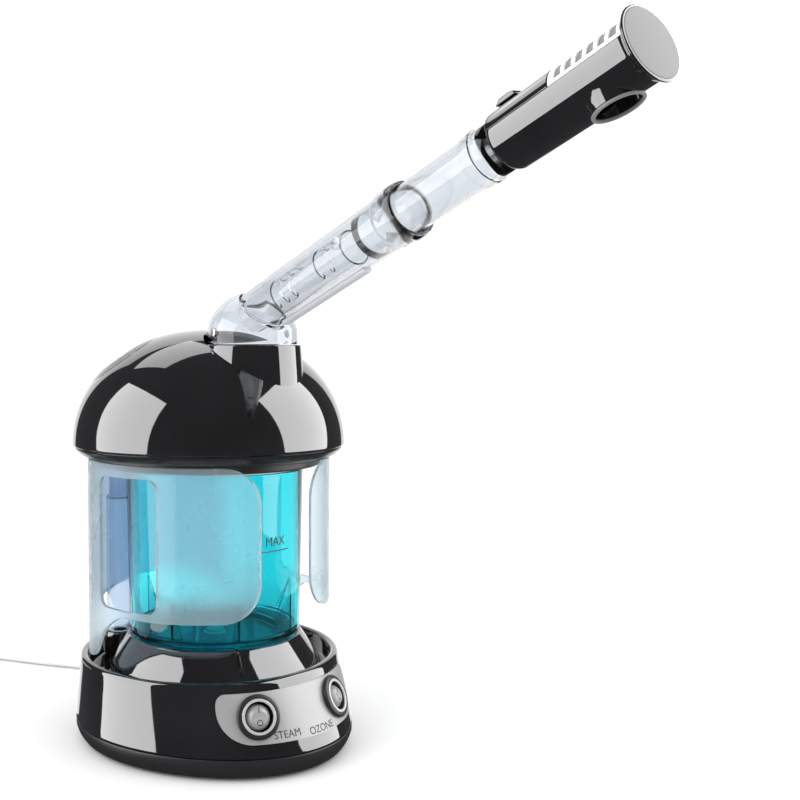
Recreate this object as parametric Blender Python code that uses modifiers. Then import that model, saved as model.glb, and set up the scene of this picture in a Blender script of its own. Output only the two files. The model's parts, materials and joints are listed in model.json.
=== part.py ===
"""Facial steamer with a swivelling, telescoping steam arm. Metres, +Z up, front towards -Y.

The origin is on the table under the centre of the dome. Angles called "azimuth" are measured from
the front (-Y), positive towards +X.
"""

import math

import bmesh
import bpy
from mathutils import Matrix, Vector
from mathutils.geometry import interpolate_bezier

# ---------------------------------------------------------------- driving dimensions
CLEARANCE = 0.0003          # gap left between pieces that touch
WALL = 0.0022               # moulded housing wall

# base
FOOT_HEIGHT = 0.0010        # how far the rubber feet hold the bottom plate up
SEAM_HEIGHT = 0.0120        # joint between bottom plate and base shell
RIM_HEIGHT = 0.0470         # top of the base's outer rim
RECESS_FLOOR = 0.0365       # floor of the gutter behind the rim
BASE_RADIUS = 0.0744        # at the seam, sides and back
RIM_RADIUS = 0.0713         # outside of the rim
RIM_INNER_RADIUS = 0.0666   # inside of the rim
FRONT_BULGE = 0.0136        # how much further forward the front reaches at the seam
BULGE_SPREAD = 42.0         # degrees either side over which the bulge dies away
DECK_OPENING = 0.0460       # opening in the deck under the tank seat
FOOT_RADIUS = 0.0065
SCREW_SPREAD = (0.0550, 0.0250)
SCREW_RADIUS = 0.0013
SCREW_HEAD_RADIUS = 0.0028

# tank and its seat
TANK_OFFSET = 0.0048        # the tank's axis is this far in front of the dome's
SEAT_FOOT_RADIUS = 0.0582
SEAT_SKIRT_HEIGHT = 0.0428  # where the seat's cone starts
SEAT_TOP_RADIUS = 0.0476
SEAT_TOP = 0.0580
SEAT_DEPTH = 0.0060         # dish in the seat that the tank's floor sinks into
BOILER_RADIUS = 0.0270
TANK_BOTTOM_RADIUS = 0.0471
TANK_TOP_RADIUS = 0.0489
TANK_HEIGHT = 0.0905
TANK_WALL = 0.0021
VALVE_RADIUS = 0.0070

# frosted sleeve round the tank
SLEEVE_RADIUS = 0.0670
SLEEVE_WALL = 0.0020
SLEEVE_TOP = 0.1543
SLEEVE_BOTTOM = 0.0756
OPENING_HALF_WIDTH = 0.0173
OPENING_CORNER = 0.0190
WINDOW_AZIMUTH = 79.5
WINDOW_HALF_WIDTH = 0.0204
WINDOW_TOP = 0.1480
WINDOW_BOTTOM = 0.0790
WINDOW_CORNER = 0.0060
LEG_CENTRE = 0.0262         # leg's place behind the axis, seen from the side
LEG_HALF_WIDTH = 0.0150
LEG_BOTTOM = 0.0486

# steam riser in the gutter
RISER_AZIMUTH = -151.0
RISER_RADIUS_FROM_AXIS = 0.0566
RISER_RADIUS = 0.0072
SOCKET_RADIUS = 0.0086
RISER_WALL = 0.0012

# dome
DOME_RADIUS = 0.0752
DOME_BOTTOM = 0.1611
DOME_TOP = 0.2245
DOME_POWER = 2.1            # superellipse exponent of the dome's side view
TRIM_BOTTOM = 0.1560
TRIM_BOTTOM_RADIUS = 0.0695
COLLAR_RADIUS = 0.0618
COLLAR_BOTTOM = 0.1505
RISER_TOP = COLLAR_BOTTOM - 0.0205
FLANGE_RADIUS = 0.0666
BOSS_OFFSET = 0.0376        # steam boss's axis, in front of the dome's axis
BOSS_TOP = 0.2161
BOSS_TOP_RADIUS = 0.0257
BOSS_FOOT_RADIUS = 0.0278
BOSS_BORE = 0.0205
LENS_NORMAL = Vector((-0.455, 0.355, 0.816)).normalized()
LENS_DISTANCE = 0.1987      # of the flat clear window's face from the origin
LENS_THICKNESS = 0.0026

# arm
ARM_AZIMUTH = -6.1
ARM_ELEVATION = 20.05
ARM_PIVOT_HEIGHT = 0.2308   # where the arm's axis meets the boss's axis
ELBOW_RADIUS = 0.0238
ELBOW_SHOULDER = 0.2225
ELBOW_WALL = 0.0018
ELBOW_MOUTH = 0.0110        # distance along the arm of the joint between elbow and tube
LOWER_RADIUS = 0.0126       # clear lower tube, outside
LOWER_WALL = 0.0011
COLLAR_END = 0.1310         # distances along the arm from its pivot
COLLAR_RING_RADIUS = 0.0129
LINER_RADIUS = 0.0088
LINER_WALL = 0.0008
LINER_END = 0.0900
LOCK_BUTTON_AT = 0.0918
UPPER_START = 0.1030
UPPER_START_RADIUS = LOWER_RADIUS - LOWER_WALL - 0.0002
UPPER_END_RADIUS = 0.0109
UPPER_WALL = 0.0010
UPPER_END = 0.1897

# head
HEAD_START = 0.1900
HEAD_END = 0.2577
HEAD_ROLL = 6.6             # degrees that the head is turned on the arm, at rest
HEAD_RADIUS = 0.0128
HEAD_WALL = 0.0016
NOZZLE_AT = 0.2389
NOZZLE_REACH = 0.0138
NOZZLE_RADIUS = 0.0102
NOZZLE_BORE = 0.0088
NOZZLE_TILT = 3.8           # degrees that the nozzle leans towards the arm's end
COVER_HALF_ANGLE = 72.0     # of the cover and the window round the head's top
COVER_INNER_RADIUS = 0.0121
COVER_RADIUS = 0.0129
COVER_END = 0.2232
GRILLE_START = 0.2237
CAP_RADIUS = 0.0150
CAP_THICKNESS = 0.0022

# switches
STEAM_AZIMUTH = -20.3
OZONE_AZIMUTH = 17.5
SWITCH_HEIGHT = 0.0308
SWITCH_HOLE = 0.0098
BEZEL_RADIUS = 0.0111
POCKET_RADIUS = 0.0073
ROCKER_RADIUS = 0.0068
PLATE_TOP = 0.0422
PLATE_BOTTOM = 0.0187
PLATE_HALF_ANGLE = 36.0
PLATE_THICKNESS = 0.0008

# mains cord
CORD_DIAMETER = 0.0046
CORD_HEIGHT = 0.0180
RELIEF_LENGTH = 0.0300
COIL_CENTRE = Vector((-0.0786, 0.2502, 0.0))
COIL_MEAN_RADIUS = 0.0262
COIL_LAYERS = 3
CORD_ROUTE = [
    (0.0000, 0.1062, 0.0180), (0.0010, 0.1120, 0.0168), (0.0030, 0.1180, 0.0122),
    (0.0055, 0.1240, 0.0068), (0.0075, 0.1300, 0.0034), (0.0078, 0.1365, 0.0026),
    (0.0052, 0.1440, 0.0026), (0.0010, 0.1520, 0.0026), (-0.0038, 0.1600, 0.0026),
    (-0.0085, 0.1680, 0.0026), (-0.0128, 0.1760, 0.0026), (-0.0172, 0.1845, 0.0026),
    (-0.0215, 0.1930, 0.0026), (-0.0262, 0.2015, 0.0026), (-0.0315, 0.2090, 0.0026),
    (-0.0378, 0.2148, 0.0026), (-0.0448, 0.2184, 0.0026), (-0.0520, 0.2200, 0.0026),
    (-0.0592, 0.2198, 0.0026),
]

ARM_DIRECTION = Vector((
    math.sin(math.radians(ARM_AZIMUTH)) * math.cos(math.radians(ARM_ELEVATION)),
    -math.cos(math.radians(ARM_AZIMUTH)) * math.cos(math.radians(ARM_ELEVATION)),
    math.sin(math.radians(ARM_ELEVATION)),
))
ARM_SIDE = ARM_DIRECTION.cross(Vector((0, 0, 1))).normalized()
ARM_UP = ARM_SIDE.cross(ARM_DIRECTION).normalized()
ARM_PIVOT = Vector((0, -BOSS_OFFSET, ARM_PIVOT_HEIGHT))

MATERIALS = {
    "black_gloss": ((0.012, 0.012, 0.013), 0.12, 0.0),
    "black_satin": ((0.03, 0.03, 0.032), 0.4, 0.0),
    "grey_satin": ((0.1, 0.1, 0.1), 0.35, 0.2),
    "silver_satin": ((0.72, 0.73, 0.74), 0.35, 0.9),
    "steel": ((0.6, 0.6, 0.62), 0.3, 1.0),
    "aluminium": ((0.75, 0.75, 0.76), 0.45, 1.0),
    "brass": ((0.8, 0.6, 0.25), 0.35, 1.0),
    "teal_clear": ((0.02, 0.55, 0.58), 0.1, 0.0),
    "clear": ((0.9, 0.92, 0.93), 0.05, 0.0),
    "frosted": ((0.68, 0.74, 0.82), 0.45, 0.0),
    "rubber": ((0.04, 0.04, 0.04), 0.85, 0.0),
    "silicone": ((0.75, 0.74, 0.72), 0.6, 0.0),
    "white_plastic": ((0.85, 0.85, 0.84), 0.35, 0.0),
    "circuit_green": ((0.02, 0.2, 0.08), 0.5, 0.0),
    "glass": ((0.85, 0.9, 0.95), 0.05, 0.0),
    "grey_disc": ((0.38, 0.38, 0.38), 0.4, 0.3),
}


# ---------------------------------------------------------------- scene and helpers
def clear_scene():
    for obj in list(bpy.data.objects):
        bpy.data.objects.remove(obj, do_unlink=True)


def make_collection(name):
    collection = bpy.data.collections.new(name)
    bpy.context.scene.collection.children.link(collection)
    return collection


clear_scene()
PARTS = make_collection("facial_steamer")
CUTTERS = make_collection("cutters")
CUTTERS.hide_render = True


def material(name):
    found = bpy.data.materials.get(name)
    if found:
        return found
    colour, roughness, metallic = MATERIALS[name]
    found = bpy.data.materials.new(name)
    found.use_nodes = True
    shader = found.node_tree.nodes["Principled BSDF"]
    shader.inputs["Base Color"].default_value = (*colour, 1)
    shader.inputs["Roughness"].default_value = roughness
    shader.inputs["Metallic"].default_value = metallic
    found.diffuse_color = (*colour, 1)
    return found


def add_object(name, mesh, finish, matrix=None, collection=None):
    obj = bpy.data.objects.new(name, mesh)
    (collection or PARTS).objects.link(obj)
    if finish:
        mesh.materials.append(material(finish))
    if matrix is not None:
        obj.matrix_world = matrix
    return obj


def as_cutter(obj):
    obj.hide_render = True
    obj.display_type = "WIRE"
    return obj


def mesh_from(verts, faces, name):
    mesh = bpy.data.meshes.new(name)
    mesh.from_pydata([tuple(v) for v in verts], [], faces)
    work = bmesh.new()
    work.from_mesh(mesh)
    bmesh.ops.remove_doubles(work, verts=work.verts, dist=1e-6)
    bmesh.ops.recalc_face_normals(work, faces=work.faces)
    work.to_mesh(mesh)
    work.free()
    mesh.shade_smooth()
    mesh.set_sharp_from_angle(angle=math.radians(35))
    return mesh


def turned(name, profile, finish, matrix=None, steps=48, closed=False, collection=None):
    """Profile of (radius, height) points turned round local Z; its outer side runs downwards."""
    mesh = bpy.data.meshes.new(name)
    verts = [(radius, 0.0, height) for radius, height in profile]
    edges = [(i, i + 1) for i in range(len(verts) - 1)]
    if closed:
        edges.append((len(verts) - 1, 0))
    mesh.from_pydata(verts, edges, [])
    obj = add_object(name, mesh, finish, matrix, collection)
    screw = obj.modifiers.new("Turn", "SCREW")
    screw.axis = "Z"
    screw.steps = screw.render_steps = steps
    screw.use_merge_vertices = True
    screw.merge_threshold = 0.00001
    screw.use_smooth_shade = True
    return obj


def cylinder(name, radius, bottom, top, finish=None, matrix=None, steps=32, collection=None):
    """A plain round bar from height bottom to top on local Z."""
    mesh = bpy.data.meshes.new(name)
    work = bmesh.new()
    bmesh.ops.create_cone(work, cap_ends=True, segments=steps, radius1=radius, radius2=radius,
                          depth=top - bottom, matrix=Matrix.Translation((0, 0, (top + bottom) / 2)))
    work.to_mesh(mesh)
    work.free()
    mesh.shade_smooth()
    mesh.set_sharp_from_angle(angle=math.radians(35))
    return add_object(name, mesh, finish, matrix, collection)


def box(name, size, finish=None, matrix=None, rounding=0.0, collection=None):
    mesh = bpy.data.meshes.new(name)
    work = bmesh.new()
    bmesh.ops.create_cube(work, size=1, matrix=Matrix.Diagonal((*size, 1)))
    work.to_mesh(mesh)
    work.free()
    obj = add_object(name, mesh, finish, matrix, collection)
    if rounding:
        bevel = obj.modifiers.new("Round", "BEVEL")
        bevel.width = rounding
        bevel.segments = 2
    return obj


def prism(name, outline, half_depth, finish=None, matrix=None, collection=None):
    """A flat outline of (x, y) points in local XY, extruded both ways along local Z."""
    count = len(outline)
    verts = [(x, y, z) for z in (-half_depth, half_depth) for x, y in outline]
    faces = [tuple(range(count))[::-1], tuple(range(count, 2 * count))]
    faces += [(i, (i + 1) % count, count + (i + 1) % count, count + i) for i in range(count)]
    return add_object(name, mesh_from(verts, faces, name), finish, matrix, collection)


def lofted_shell(name, rings, wall, finish, collection=None):
    """An open skin through rings of points, thickened inwards."""
    count = len(rings[0])
    verts = [point for ring in rings for point in ring]
    faces = []
    for row in range(len(rings) - 1):
        for i in range(count):
            j = (i + 1) % count
            faces.append((row * count + i, row * count + j,
                          (row + 1) * count + j, (row + 1) * count + i))
    obj = add_object(name, mesh_from(verts, faces, name), finish, collection=collection)
    solidify = obj.modifiers.new("Wall", "SOLIDIFY")
    solidify.thickness = wall
    solidify.offset = -1
    return obj


def ring_of(centre, normal, radius, side, count=32):
    """Points of a circle, starting at side, which is square to the normal."""
    other = normal.cross(side).normalized()
    return [centre + radius * (math.cos(a) * side + math.sin(a) * other)
            for a in (2 * math.pi * i / count for i in range(count))]


def tube_along(name, points, radius, wall, finish, count=20):
    """A hollow hose of one radius along a list of points."""
    rings = []
    side = Vector((1, 0, 0))
    for i, point in enumerate(points):
        along = (points[min(i + 1, len(points) - 1)] - points[max(i - 1, 0)]).normalized()
        side = (side - along * side.dot(along)).normalized()
        rings.append(ring_of(point, along, radius, side, count))
    return lofted_shell(name, rings, wall, finish)


def boolean(obj, cutter, operation="DIFFERENCE"):
    modifier = obj.modifiers.new(operation.title(), "BOOLEAN")
    modifier.operation = operation
    modifier.solver = "EXACT"
    modifier.object = cutter
    return obj


def cutting_bar(name, radius, bottom, top, matrix=None, steps=32):
    return as_cutter(cylinder(name, radius, bottom, top, None, matrix, steps, CUTTERS))


def rounded_rectangle(half_width, bottom, top, corner, steps=6):
    outline = []
    corners = ((half_width - corner, top - corner, 0), (-half_width + corner, top - corner, 90),
               (-half_width + corner, bottom + corner, 180), (half_width - corner, bottom + corner, 270))
    for x, y, start in corners:
        for i in range(steps + 1):
            angle = math.radians(start + 90 * i / steps)
            outline.append((x + corner * math.cos(angle), y + corner * math.sin(angle)))
    return outline


def at(x, y, z=0.0):
    return Matrix.Translation((x, y, z))


def direction_at(azimuth):
    angle = math.radians(azimuth)
    return Vector((math.sin(angle), -math.cos(angle), 0))


def frame_matrix(origin, x_axis, y_axis, z_axis):
    matrix = Matrix((x_axis, y_axis, z_axis)).transposed().to_4x4()
    matrix.translation = origin
    return matrix


def along_arm(distance):
    """Local Z along the arm, local Y up, origin at this distance from the pivot."""
    return frame_matrix(ARM_PIVOT + ARM_DIRECTION * distance, -ARM_SIDE, ARM_UP, ARM_DIRECTION)


# ---------------------------------------------------------------- base
def bulge_share(height):
    """How much of the front bulge a point of the side wall has at this height."""
    return min(1.0, max(0.0, (RIM_HEIGHT - height) / (RIM_HEIGHT - SEAM_HEIGHT)))


def outline_radius(azimuth, radius, bulge):
    return radius + bulge * FRONT_BULGE * math.exp(-(azimuth / BULGE_SPREAD) ** 2)


def wall_radius(azimuth, height, inset=0.0):
    share = bulge_share(height)
    return outline_radius(azimuth, RIM_RADIUS + (BASE_RADIUS - RIM_RADIUS) * share - inset, share)


def bulged(name, profile, finish, steps=40, closed=True):
    """Like turned, but each profile point (radius, height, bulge) also swells towards the front."""
    verts = []
    for i in range(steps):
        azimuth = 360.0 * i / steps - 180.0
        for radius, height, bulge in profile:
            reach = outline_radius(azimuth, radius, bulge) if radius else 0.0
            verts.append(direction_at(azimuth) * reach + Vector((0, 0, height)))
    count = len(profile)
    faces = []
    for i in range(steps):
        for row in range(count if closed else count - 1):
            a, b = i * count + row, i * count + (row + 1) % count
            c, d = ((i + 1) % steps) * count + (row + 1) % count, ((i + 1) % steps) * count + row
            faces.append((a, b, c, d))
    if not closed:
        verts, faces = weld_poles(verts, faces)
    return add_object(name, mesh_from(verts, faces, name), finish)


def weld_poles(verts, faces):
    """The points on the axis become one, and the faces that touch it become triangles."""
    poles = {}
    index = []
    for i, vert in enumerate(verts):
        on_axis = abs(vert.x) < 1e-9 and abs(vert.y) < 1e-9
        index.append(poles.setdefault(round(vert.z, 6), i) if on_axis else i)
    return verts, [tuple(dict.fromkeys(index[i] for i in face)) for face in faces]


def surface_frame(azimuth, height, lift=0.0):
    """Origin on the sloped front, X along the surface, Y up the slope, Z outwards."""
    here = direction_at(azimuth) * wall_radius(azimuth, height) + Vector((0, 0, height))
    step = 0.001
    above = direction_at(azimuth) * wall_radius(azimuth, height + step) + Vector((0, 0, height + step))
    beside = direction_at(azimuth + 1) * wall_radius(azimuth + 1, height) + Vector((0, 0, height))
    up = (above - here).normalized()
    across = (beside - here).normalized()
    out = across.cross(up).normalized()
    across = up.cross(out).normalized()
    return frame_matrix(here + out * lift, across, up, out)


def screw_places():
    x, y = SCREW_SPREAD
    return [(-x, -y), (x, -y), (x, y), (-x, y)]


def build_base_shell():
    under_deck = RECESS_FLOOR - WALL
    wall_at = lambda z, inset=0.0: (RIM_RADIUS + (BASE_RADIUS - RIM_RADIUS) * bulge_share(z) - inset, z,
                                    bulge_share(z))
    profile = [
        (DECK_OPENING, RECESS_FLOOR, 0), (RIM_INNER_RADIUS - 0.0012, RECESS_FLOOR, 0),
        (RIM_INNER_RADIUS, RECESS_FLOOR + 0.0012, 0), (RIM_INNER_RADIUS + 0.0006, RIM_HEIGHT - 0.0022, 0),
        (RIM_INNER_RADIUS + 0.0016, RIM_HEIGHT - 0.0004, 0), (RIM_RADIUS - 0.0016, RIM_HEIGHT, 0),
        (RIM_RADIUS - 0.0004, RIM_HEIGHT - 0.0009, 0), wall_at(RIM_HEIGHT - 0.0026),
        wall_at(0.0370), wall_at(0.0290), wall_at(0.0210), wall_at(0.0150),
        (BASE_RADIUS + 0.0002, SEAM_HEIGHT + 0.0012, 1), (BASE_RADIUS - 0.0001, SEAM_HEIGHT, 1),
        (BASE_RADIUS - WALL, SEAM_HEIGHT, 1), wall_at(0.0210, WALL), wall_at(0.0290, WALL),
        (wall_at(under_deck, WALL)[0], under_deck, bulge_share(under_deck)),
        (DECK_OPENING, under_deck, 0),
    ]
    shell = bulged("base_shell", profile, "black_gloss")
    for i, (x, y) in enumerate(screw_places()):
        boss = as_cutter(cylinder(f"screw_boss_{i}", 0.0040, 0.0062, under_deck + 0.0010,
                                  matrix=at(x, y), steps=16, collection=CUTTERS))
        boolean(shell, boss, "UNION")
        boolean(shell, cutting_bar(f"screw_bore_{i}", SCREW_RADIUS + CLEARANCE, 0.0040, 0.0200,
                                   at(x, y), 12))
    for name, azimuth in (("steam", STEAM_AZIMUTH), ("ozone", OZONE_AZIMUTH)):
        boolean(shell, cutting_bar(f"{name}_hole", SWITCH_HOLE + CLEARANCE, -0.012, 0.012,
                                   surface_frame(azimuth, SWITCH_HEIGHT), 32))
    gland_axis = frame_matrix(Vector((0, BASE_RADIUS, CORD_HEIGHT)), Vector((1, 0, 0)),
                              Vector((0, 0, -1)), Vector((0, 1, 0)))
    boolean(shell, cutting_bar("gland_hole", 0.0040 + CLEARANCE, -0.010, 0.010, gland_axis, 24))
    riser = direction_at(RISER_AZIMUTH) * RISER_RADIUS_FROM_AXIS
    boolean(shell, cutting_bar("riser_hole", 0.0052 + CLEARANCE, 0.030, 0.040, at(riser.x, riser.y), 24))


def build_bottom_plate():
    plate = bulged("bottom_plate", [
        (0, FOOT_HEIGHT + WALL, 0), (BASE_RADIUS - 0.0044, FOOT_HEIGHT + WALL, 1),
        (BASE_RADIUS - 0.0026, FOOT_HEIGHT + WALL + 0.0018, 1),
        (BASE_RADIUS - 0.0024, SEAM_HEIGHT - CLEARANCE, 1),
        (BASE_RADIUS - 0.0001, SEAM_HEIGHT - CLEARANCE, 1), (BASE_RADIUS - 0.0004, SEAM_HEIGHT - 0.0030, 1),
        (BASE_RADIUS - 0.0018, FOOT_HEIGHT + 0.0032, 1), (BASE_RADIUS - 0.0042, FOOT_HEIGHT + 0.0004, 1),
        (BASE_RADIUS - 0.0060, FOOT_HEIGHT, 1), (0, FOOT_HEIGHT, 0),
    ], "black_satin", closed=False)
    for i, (x, y) in enumerate(screw_places()):
        boolean(plate, cutting_bar(f"head_pocket_{i}", SCREW_HEAD_RADIUS + CLEARANCE, 0.0, 0.0027,
                                   at(x, y), 20))
        boolean(plate, cutting_bar(f"shank_hole_{i}", SCREW_RADIUS + CLEARANCE, 0.0, 0.0090, at(x, y), 12))
        turned(f"case_screw_{i + 1}", [
            (0, 0.0180), (SCREW_RADIUS, 0.0172), (SCREW_RADIUS, 0.0027 - CLEARANCE),
            (SCREW_HEAD_RADIUS, 0.0027 - CLEARANCE), (SCREW_HEAD_RADIUS - 0.0006, 0.0016), (0, 0.0016),
        ], "steel", at(x, y), 12)
    for i, (x, y) in enumerate([(-0.040, -0.052), (0.040, -0.052), (0.040, 0.042), (-0.040, 0.042)]):
        turned(f"rubber_foot_{i + 1}", [
            (0, FOOT_HEIGHT - CLEARANCE), (FOOT_RADIUS, FOOT_HEIGHT - CLEARANCE),
            (FOOT_RADIUS, 0.0005), (FOOT_RADIUS - 0.0006, 0.0), (0, 0.0),
        ], "rubber", at(x, y), 20)


def plate_half_angle(height):
    """Half the control plate's width, in degrees, at this height: wide above, drawn in below."""
    share = (height - PLATE_BOTTOM) / (PLATE_TOP - PLATE_BOTTOM)
    lower = math.sqrt(max(0.0, 1 - (1 - min(share / 0.75, 1.0)) ** 2))
    upper = math.sqrt(max(0.0, 1 - (max(share - 0.80, 0.0) / 0.20) ** 2))
    return PLATE_HALF_ANGLE * (0.62 + 0.38 * lower) * (0.90 + 0.10 * upper)


def build_control_plate():
    rows, columns = 7, 22
    verts, faces = [], []
    for lift in (CLEARANCE, CLEARANCE + PLATE_THICKNESS):
        for row in range(rows + 1):
            height = PLATE_BOTTOM + (PLATE_TOP - PLATE_BOTTOM) * row / rows
            for column in range(columns + 1):
                azimuth = plate_half_angle(height) * (2 * column / columns - 1)
                verts.append(surface_frame(azimuth, height, lift).translation.copy())
    layer = (rows + 1) * (columns + 1)
    index = lambda side, row, column: side * layer + row * (columns + 1) + column
    for row in range(rows):
        for column in range(columns):
            for side in (0, 1):
                faces.append((index(side, row, column), index(side, row, column + 1),
                              index(side, row + 1, column + 1), index(side, row + 1, column)))
    border = [(0, c) for c in range(columns)] + [(r, columns) for r in range(rows)]
    border += [(rows, c) for c in range(columns, 0, -1)] + [(r, 0) for r in range(rows, 0, -1)]
    for (r0, c0), (r1, c1) in zip(border, border[1:] + border[:1]):
        faces.append((index(0, r0, c0), index(0, r1, c1), index(1, r1, c1), index(1, r0, c0)))
    plate = add_object("control_plate", mesh_from(verts, faces, "control_plate"), "silver_satin")
    for name in ("steam", "ozone"):
        boolean(plate, bpy.data.objects[f"{name}_hole"])


def build_switch(name, azimuth):
    """Round rocker switch: bezel and body in one housing, and a rocker that turns in its pocket."""
    seat = CLEARANCE + PLATE_THICKNESS + CLEARANCE
    face = seat + 0.0020
    housing = surface_frame(azimuth, SWITCH_HEIGHT)
    turned(f"{name}_switch_housing", [
        (0, -0.0085), (POCKET_RADIUS, -0.0085), (POCKET_RADIUS, face - 0.0004),
        (POCKET_RADIUS + 0.0006, face),
        (BEZEL_RADIUS - 0.0008, face - 0.0002), (BEZEL_RADIUS, face - 0.0010), (BEZEL_RADIUS, seat),
        (SWITCH_HOLE, seat), (SWITCH_HOLE, -0.0105), (0, -0.0105),
    ], "black_satin", housing, 24)
    pivot = housing @ Matrix.Translation((0, 0, face - 0.0052))
    mesh = bpy.data.meshes.new(f"{name}_rocker")
    work = bmesh.new()
    bmesh.ops.create_uvsphere(work, u_segments=20, v_segments=12, radius=ROCKER_RADIUS)
    work.to_mesh(mesh)
    work.free()
    rocker = add_object(f"{name}_rocker", mesh, "silver_satin", pivot)
    top, tip = 0.0056, 0.0066
    outline = [(-0.009, -0.0045), (0.009, -0.0045), (0.009, tip + 0.0006), (0.0, top), (-0.009,
        tip - 0.0010)]
    turn = Matrix(((0, 0, 1, 0), (1, 0, 0, 0), (0, 1, 0, 0), (0, 0, 0, 1)))
    keep = as_cutter(prism(f"{name}_rocker_block", outline, 0.01, None, pivot @ turn, CUTTERS))
    boolean(rocker, keep, "INTERSECT")


def build_tank_seat():
    """Cone that carries the tank, over the boiler."""
    wall = WALL
    seat = turned("tank_seat", [
        (0.0100, SEAT_TOP - SEAT_DEPTH), (0.0388, SEAT_TOP - SEAT_DEPTH), (0.0394, SEAT_TOP),
        (SEAT_TOP_RADIUS - 0.0006, SEAT_TOP), (SEAT_TOP_RADIUS, SEAT_TOP - 0.0008),
        (SEAT_FOOT_RADIUS - 0.0004, SEAT_SKIRT_HEIGHT + 0.0006),
        (SEAT_FOOT_RADIUS, SEAT_SKIRT_HEIGHT - 0.0004),
        (SEAT_FOOT_RADIUS, RECESS_FLOOR + CLEARANCE), (SEAT_FOOT_RADIUS - wall, RECESS_FLOOR + CLEARANCE),
        (SEAT_FOOT_RADIUS - wall, SEAT_SKIRT_HEIGHT - 0.0014), (SEAT_TOP_RADIUS - wall, SEAT_TOP - 0.0036),
        (0.0392, SEAT_TOP - SEAT_DEPTH - wall), (0.0100, SEAT_TOP - SEAT_DEPTH - wall),
    ], "black_gloss", at(0, -TANK_OFFSET), 40, closed=True)
    notch = riser_centre()
    boolean(seat, cutting_bar("socket_notch", SOCKET_RADIUS + CLEARANCE, 0.0300, 0.0620, at(notch.x,
        notch.y), 24))


def build_boiler():
    """Aluminium boiler under the seat, with its ring element, cut-outs and inlet."""
    centre = (0.0, -TANK_OFFSET)
    pot_bottom, pot_top = 0.0240, 0.0440
    r = BOILER_RADIUS
    pot = turned("boiler", [
        (0, pot_bottom + 0.0020), (r - 0.0030, pot_bottom + 0.0020), (r - 0.0018, pot_bottom + 0.0030),
        (r - 0.0018, pot_top - 0.0030), (r - 0.0030, pot_top - 0.0020), (0.0080, pot_top - 0.0020),
        (0.0080, pot_top), (r - 0.0020, pot_top), (r, pot_top - 0.0020), (r, pot_bottom + 0.0020),
        (r - 0.0020, pot_bottom), (0, pot_bottom),
    ], "aluminium", at(*centre), 28)
    away = Vector((riser_centre().x, riser_centre().y + TANK_OFFSET, 0)).normalized()
    outlet = frame_matrix(Vector((0, -TANK_OFFSET, 0.0380)), Vector((0, 0, 1)).cross(away), Vector((0,
        0, 1)), away)
    boolean(pot, cutting_bar("steam_outlet", 0.0034, r - 0.0060, r + 0.0020, outlet, 16))
    turned("heating_element", [
        (0.0150, pot_bottom - CLEARANCE), (0.0210, pot_bottom - CLEARANCE), (0.0210, pot_bottom - 0.0045),
        (0.0150, pot_bottom - 0.0045),
    ], "steel", at(*centre), 28, closed=True)
    turned("thermostat", [
        (0, pot_bottom - CLEARANCE), (0.0075, pot_bottom - CLEARANCE), (0.0075, pot_bottom - 0.0050),
        (0.0050, pot_bottom - 0.0050), (0.0050, pot_bottom - 0.0090), (0, pot_bottom - 0.0090),
    ], "black_satin", at(*centre), 24)
    dish = SEAT_TOP - SEAT_DEPTH - WALL - CLEARANCE
    turned("water_inlet_seal", [
        (0.0068, dish), (0.0095, dish), (0.0095, pot_top + CLEARANCE),
        (0.0068, pot_top + CLEARANCE),
    ], "silicone", at(*centre), 24, closed=True)


def riser_centre():
    return direction_at(RISER_AZIMUTH) * RISER_RADIUS_FROM_AXIS


def build_riser():
    """Steam hose from the boiler, a socket in the gutter, and the clear riser that stands in it."""
    centre = riser_centre()
    turned("riser_socket", [
        (0.0040, RECESS_FLOOR + 0.0150), (SOCKET_RADIUS - 0.0006, RECESS_FLOOR + 0.0150),
        (SOCKET_RADIUS, RECESS_FLOOR + 0.0142), (SOCKET_RADIUS, RECESS_FLOOR + CLEARANCE),
        (0.0052, RECESS_FLOOR + CLEARANCE), (0.0052, RECESS_FLOOR - 0.0080),
        (0.0036, RECESS_FLOOR - 0.0080),
        (0.0036, RECESS_FLOOR + 0.0020), (0.0040, RECESS_FLOOR + 0.0020),
    ], "black_satin", at(centre.x, centre.y), 20, closed=True)
    bottom = RECESS_FLOOR + 0.0150 + CLEARANCE
    turned("steam_riser", [
        (RISER_RADIUS - RISER_WALL - 0.0014, RISER_TOP + 0.0150),
        (RISER_RADIUS - 0.0016, RISER_TOP + 0.0150),
        (RISER_RADIUS - 0.0016, RISER_TOP + 0.0010), (RISER_RADIUS - 0.0004, RISER_TOP),
        (RISER_RADIUS, RISER_TOP - 0.0010), (RISER_RADIUS, bottom), (RISER_RADIUS - RISER_WALL, bottom),
        (RISER_RADIUS - RISER_WALL, RISER_TOP - 0.0020), (RISER_RADIUS - RISER_WALL - 0.0014, RISER_TOP),
    ], "frosted", at(centre.x, centre.y), 24, closed=True)
    end = Vector((centre.x, centre.y, RECESS_FLOOR - 0.0080 - CLEARANCE))
    away = Vector((centre.x, centre.y + TANK_OFFSET, 0)).normalized()
    start = Vector((0, -TANK_OFFSET, 0.0370)) + away * (BOILER_RADIUS + CLEARANCE)
    low = end - Vector((0, 0, 0.0030))
    points = interpolate_bezier(start + away * 0.0020, start + away * 0.0120, low - Vector((0, 0,
        0.0110)), low, 10)
    tube_along("steam_hose", [start] + [Vector(p) for p in points] + [end], 0.0044, 0.0012, "silicone", 12)


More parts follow.
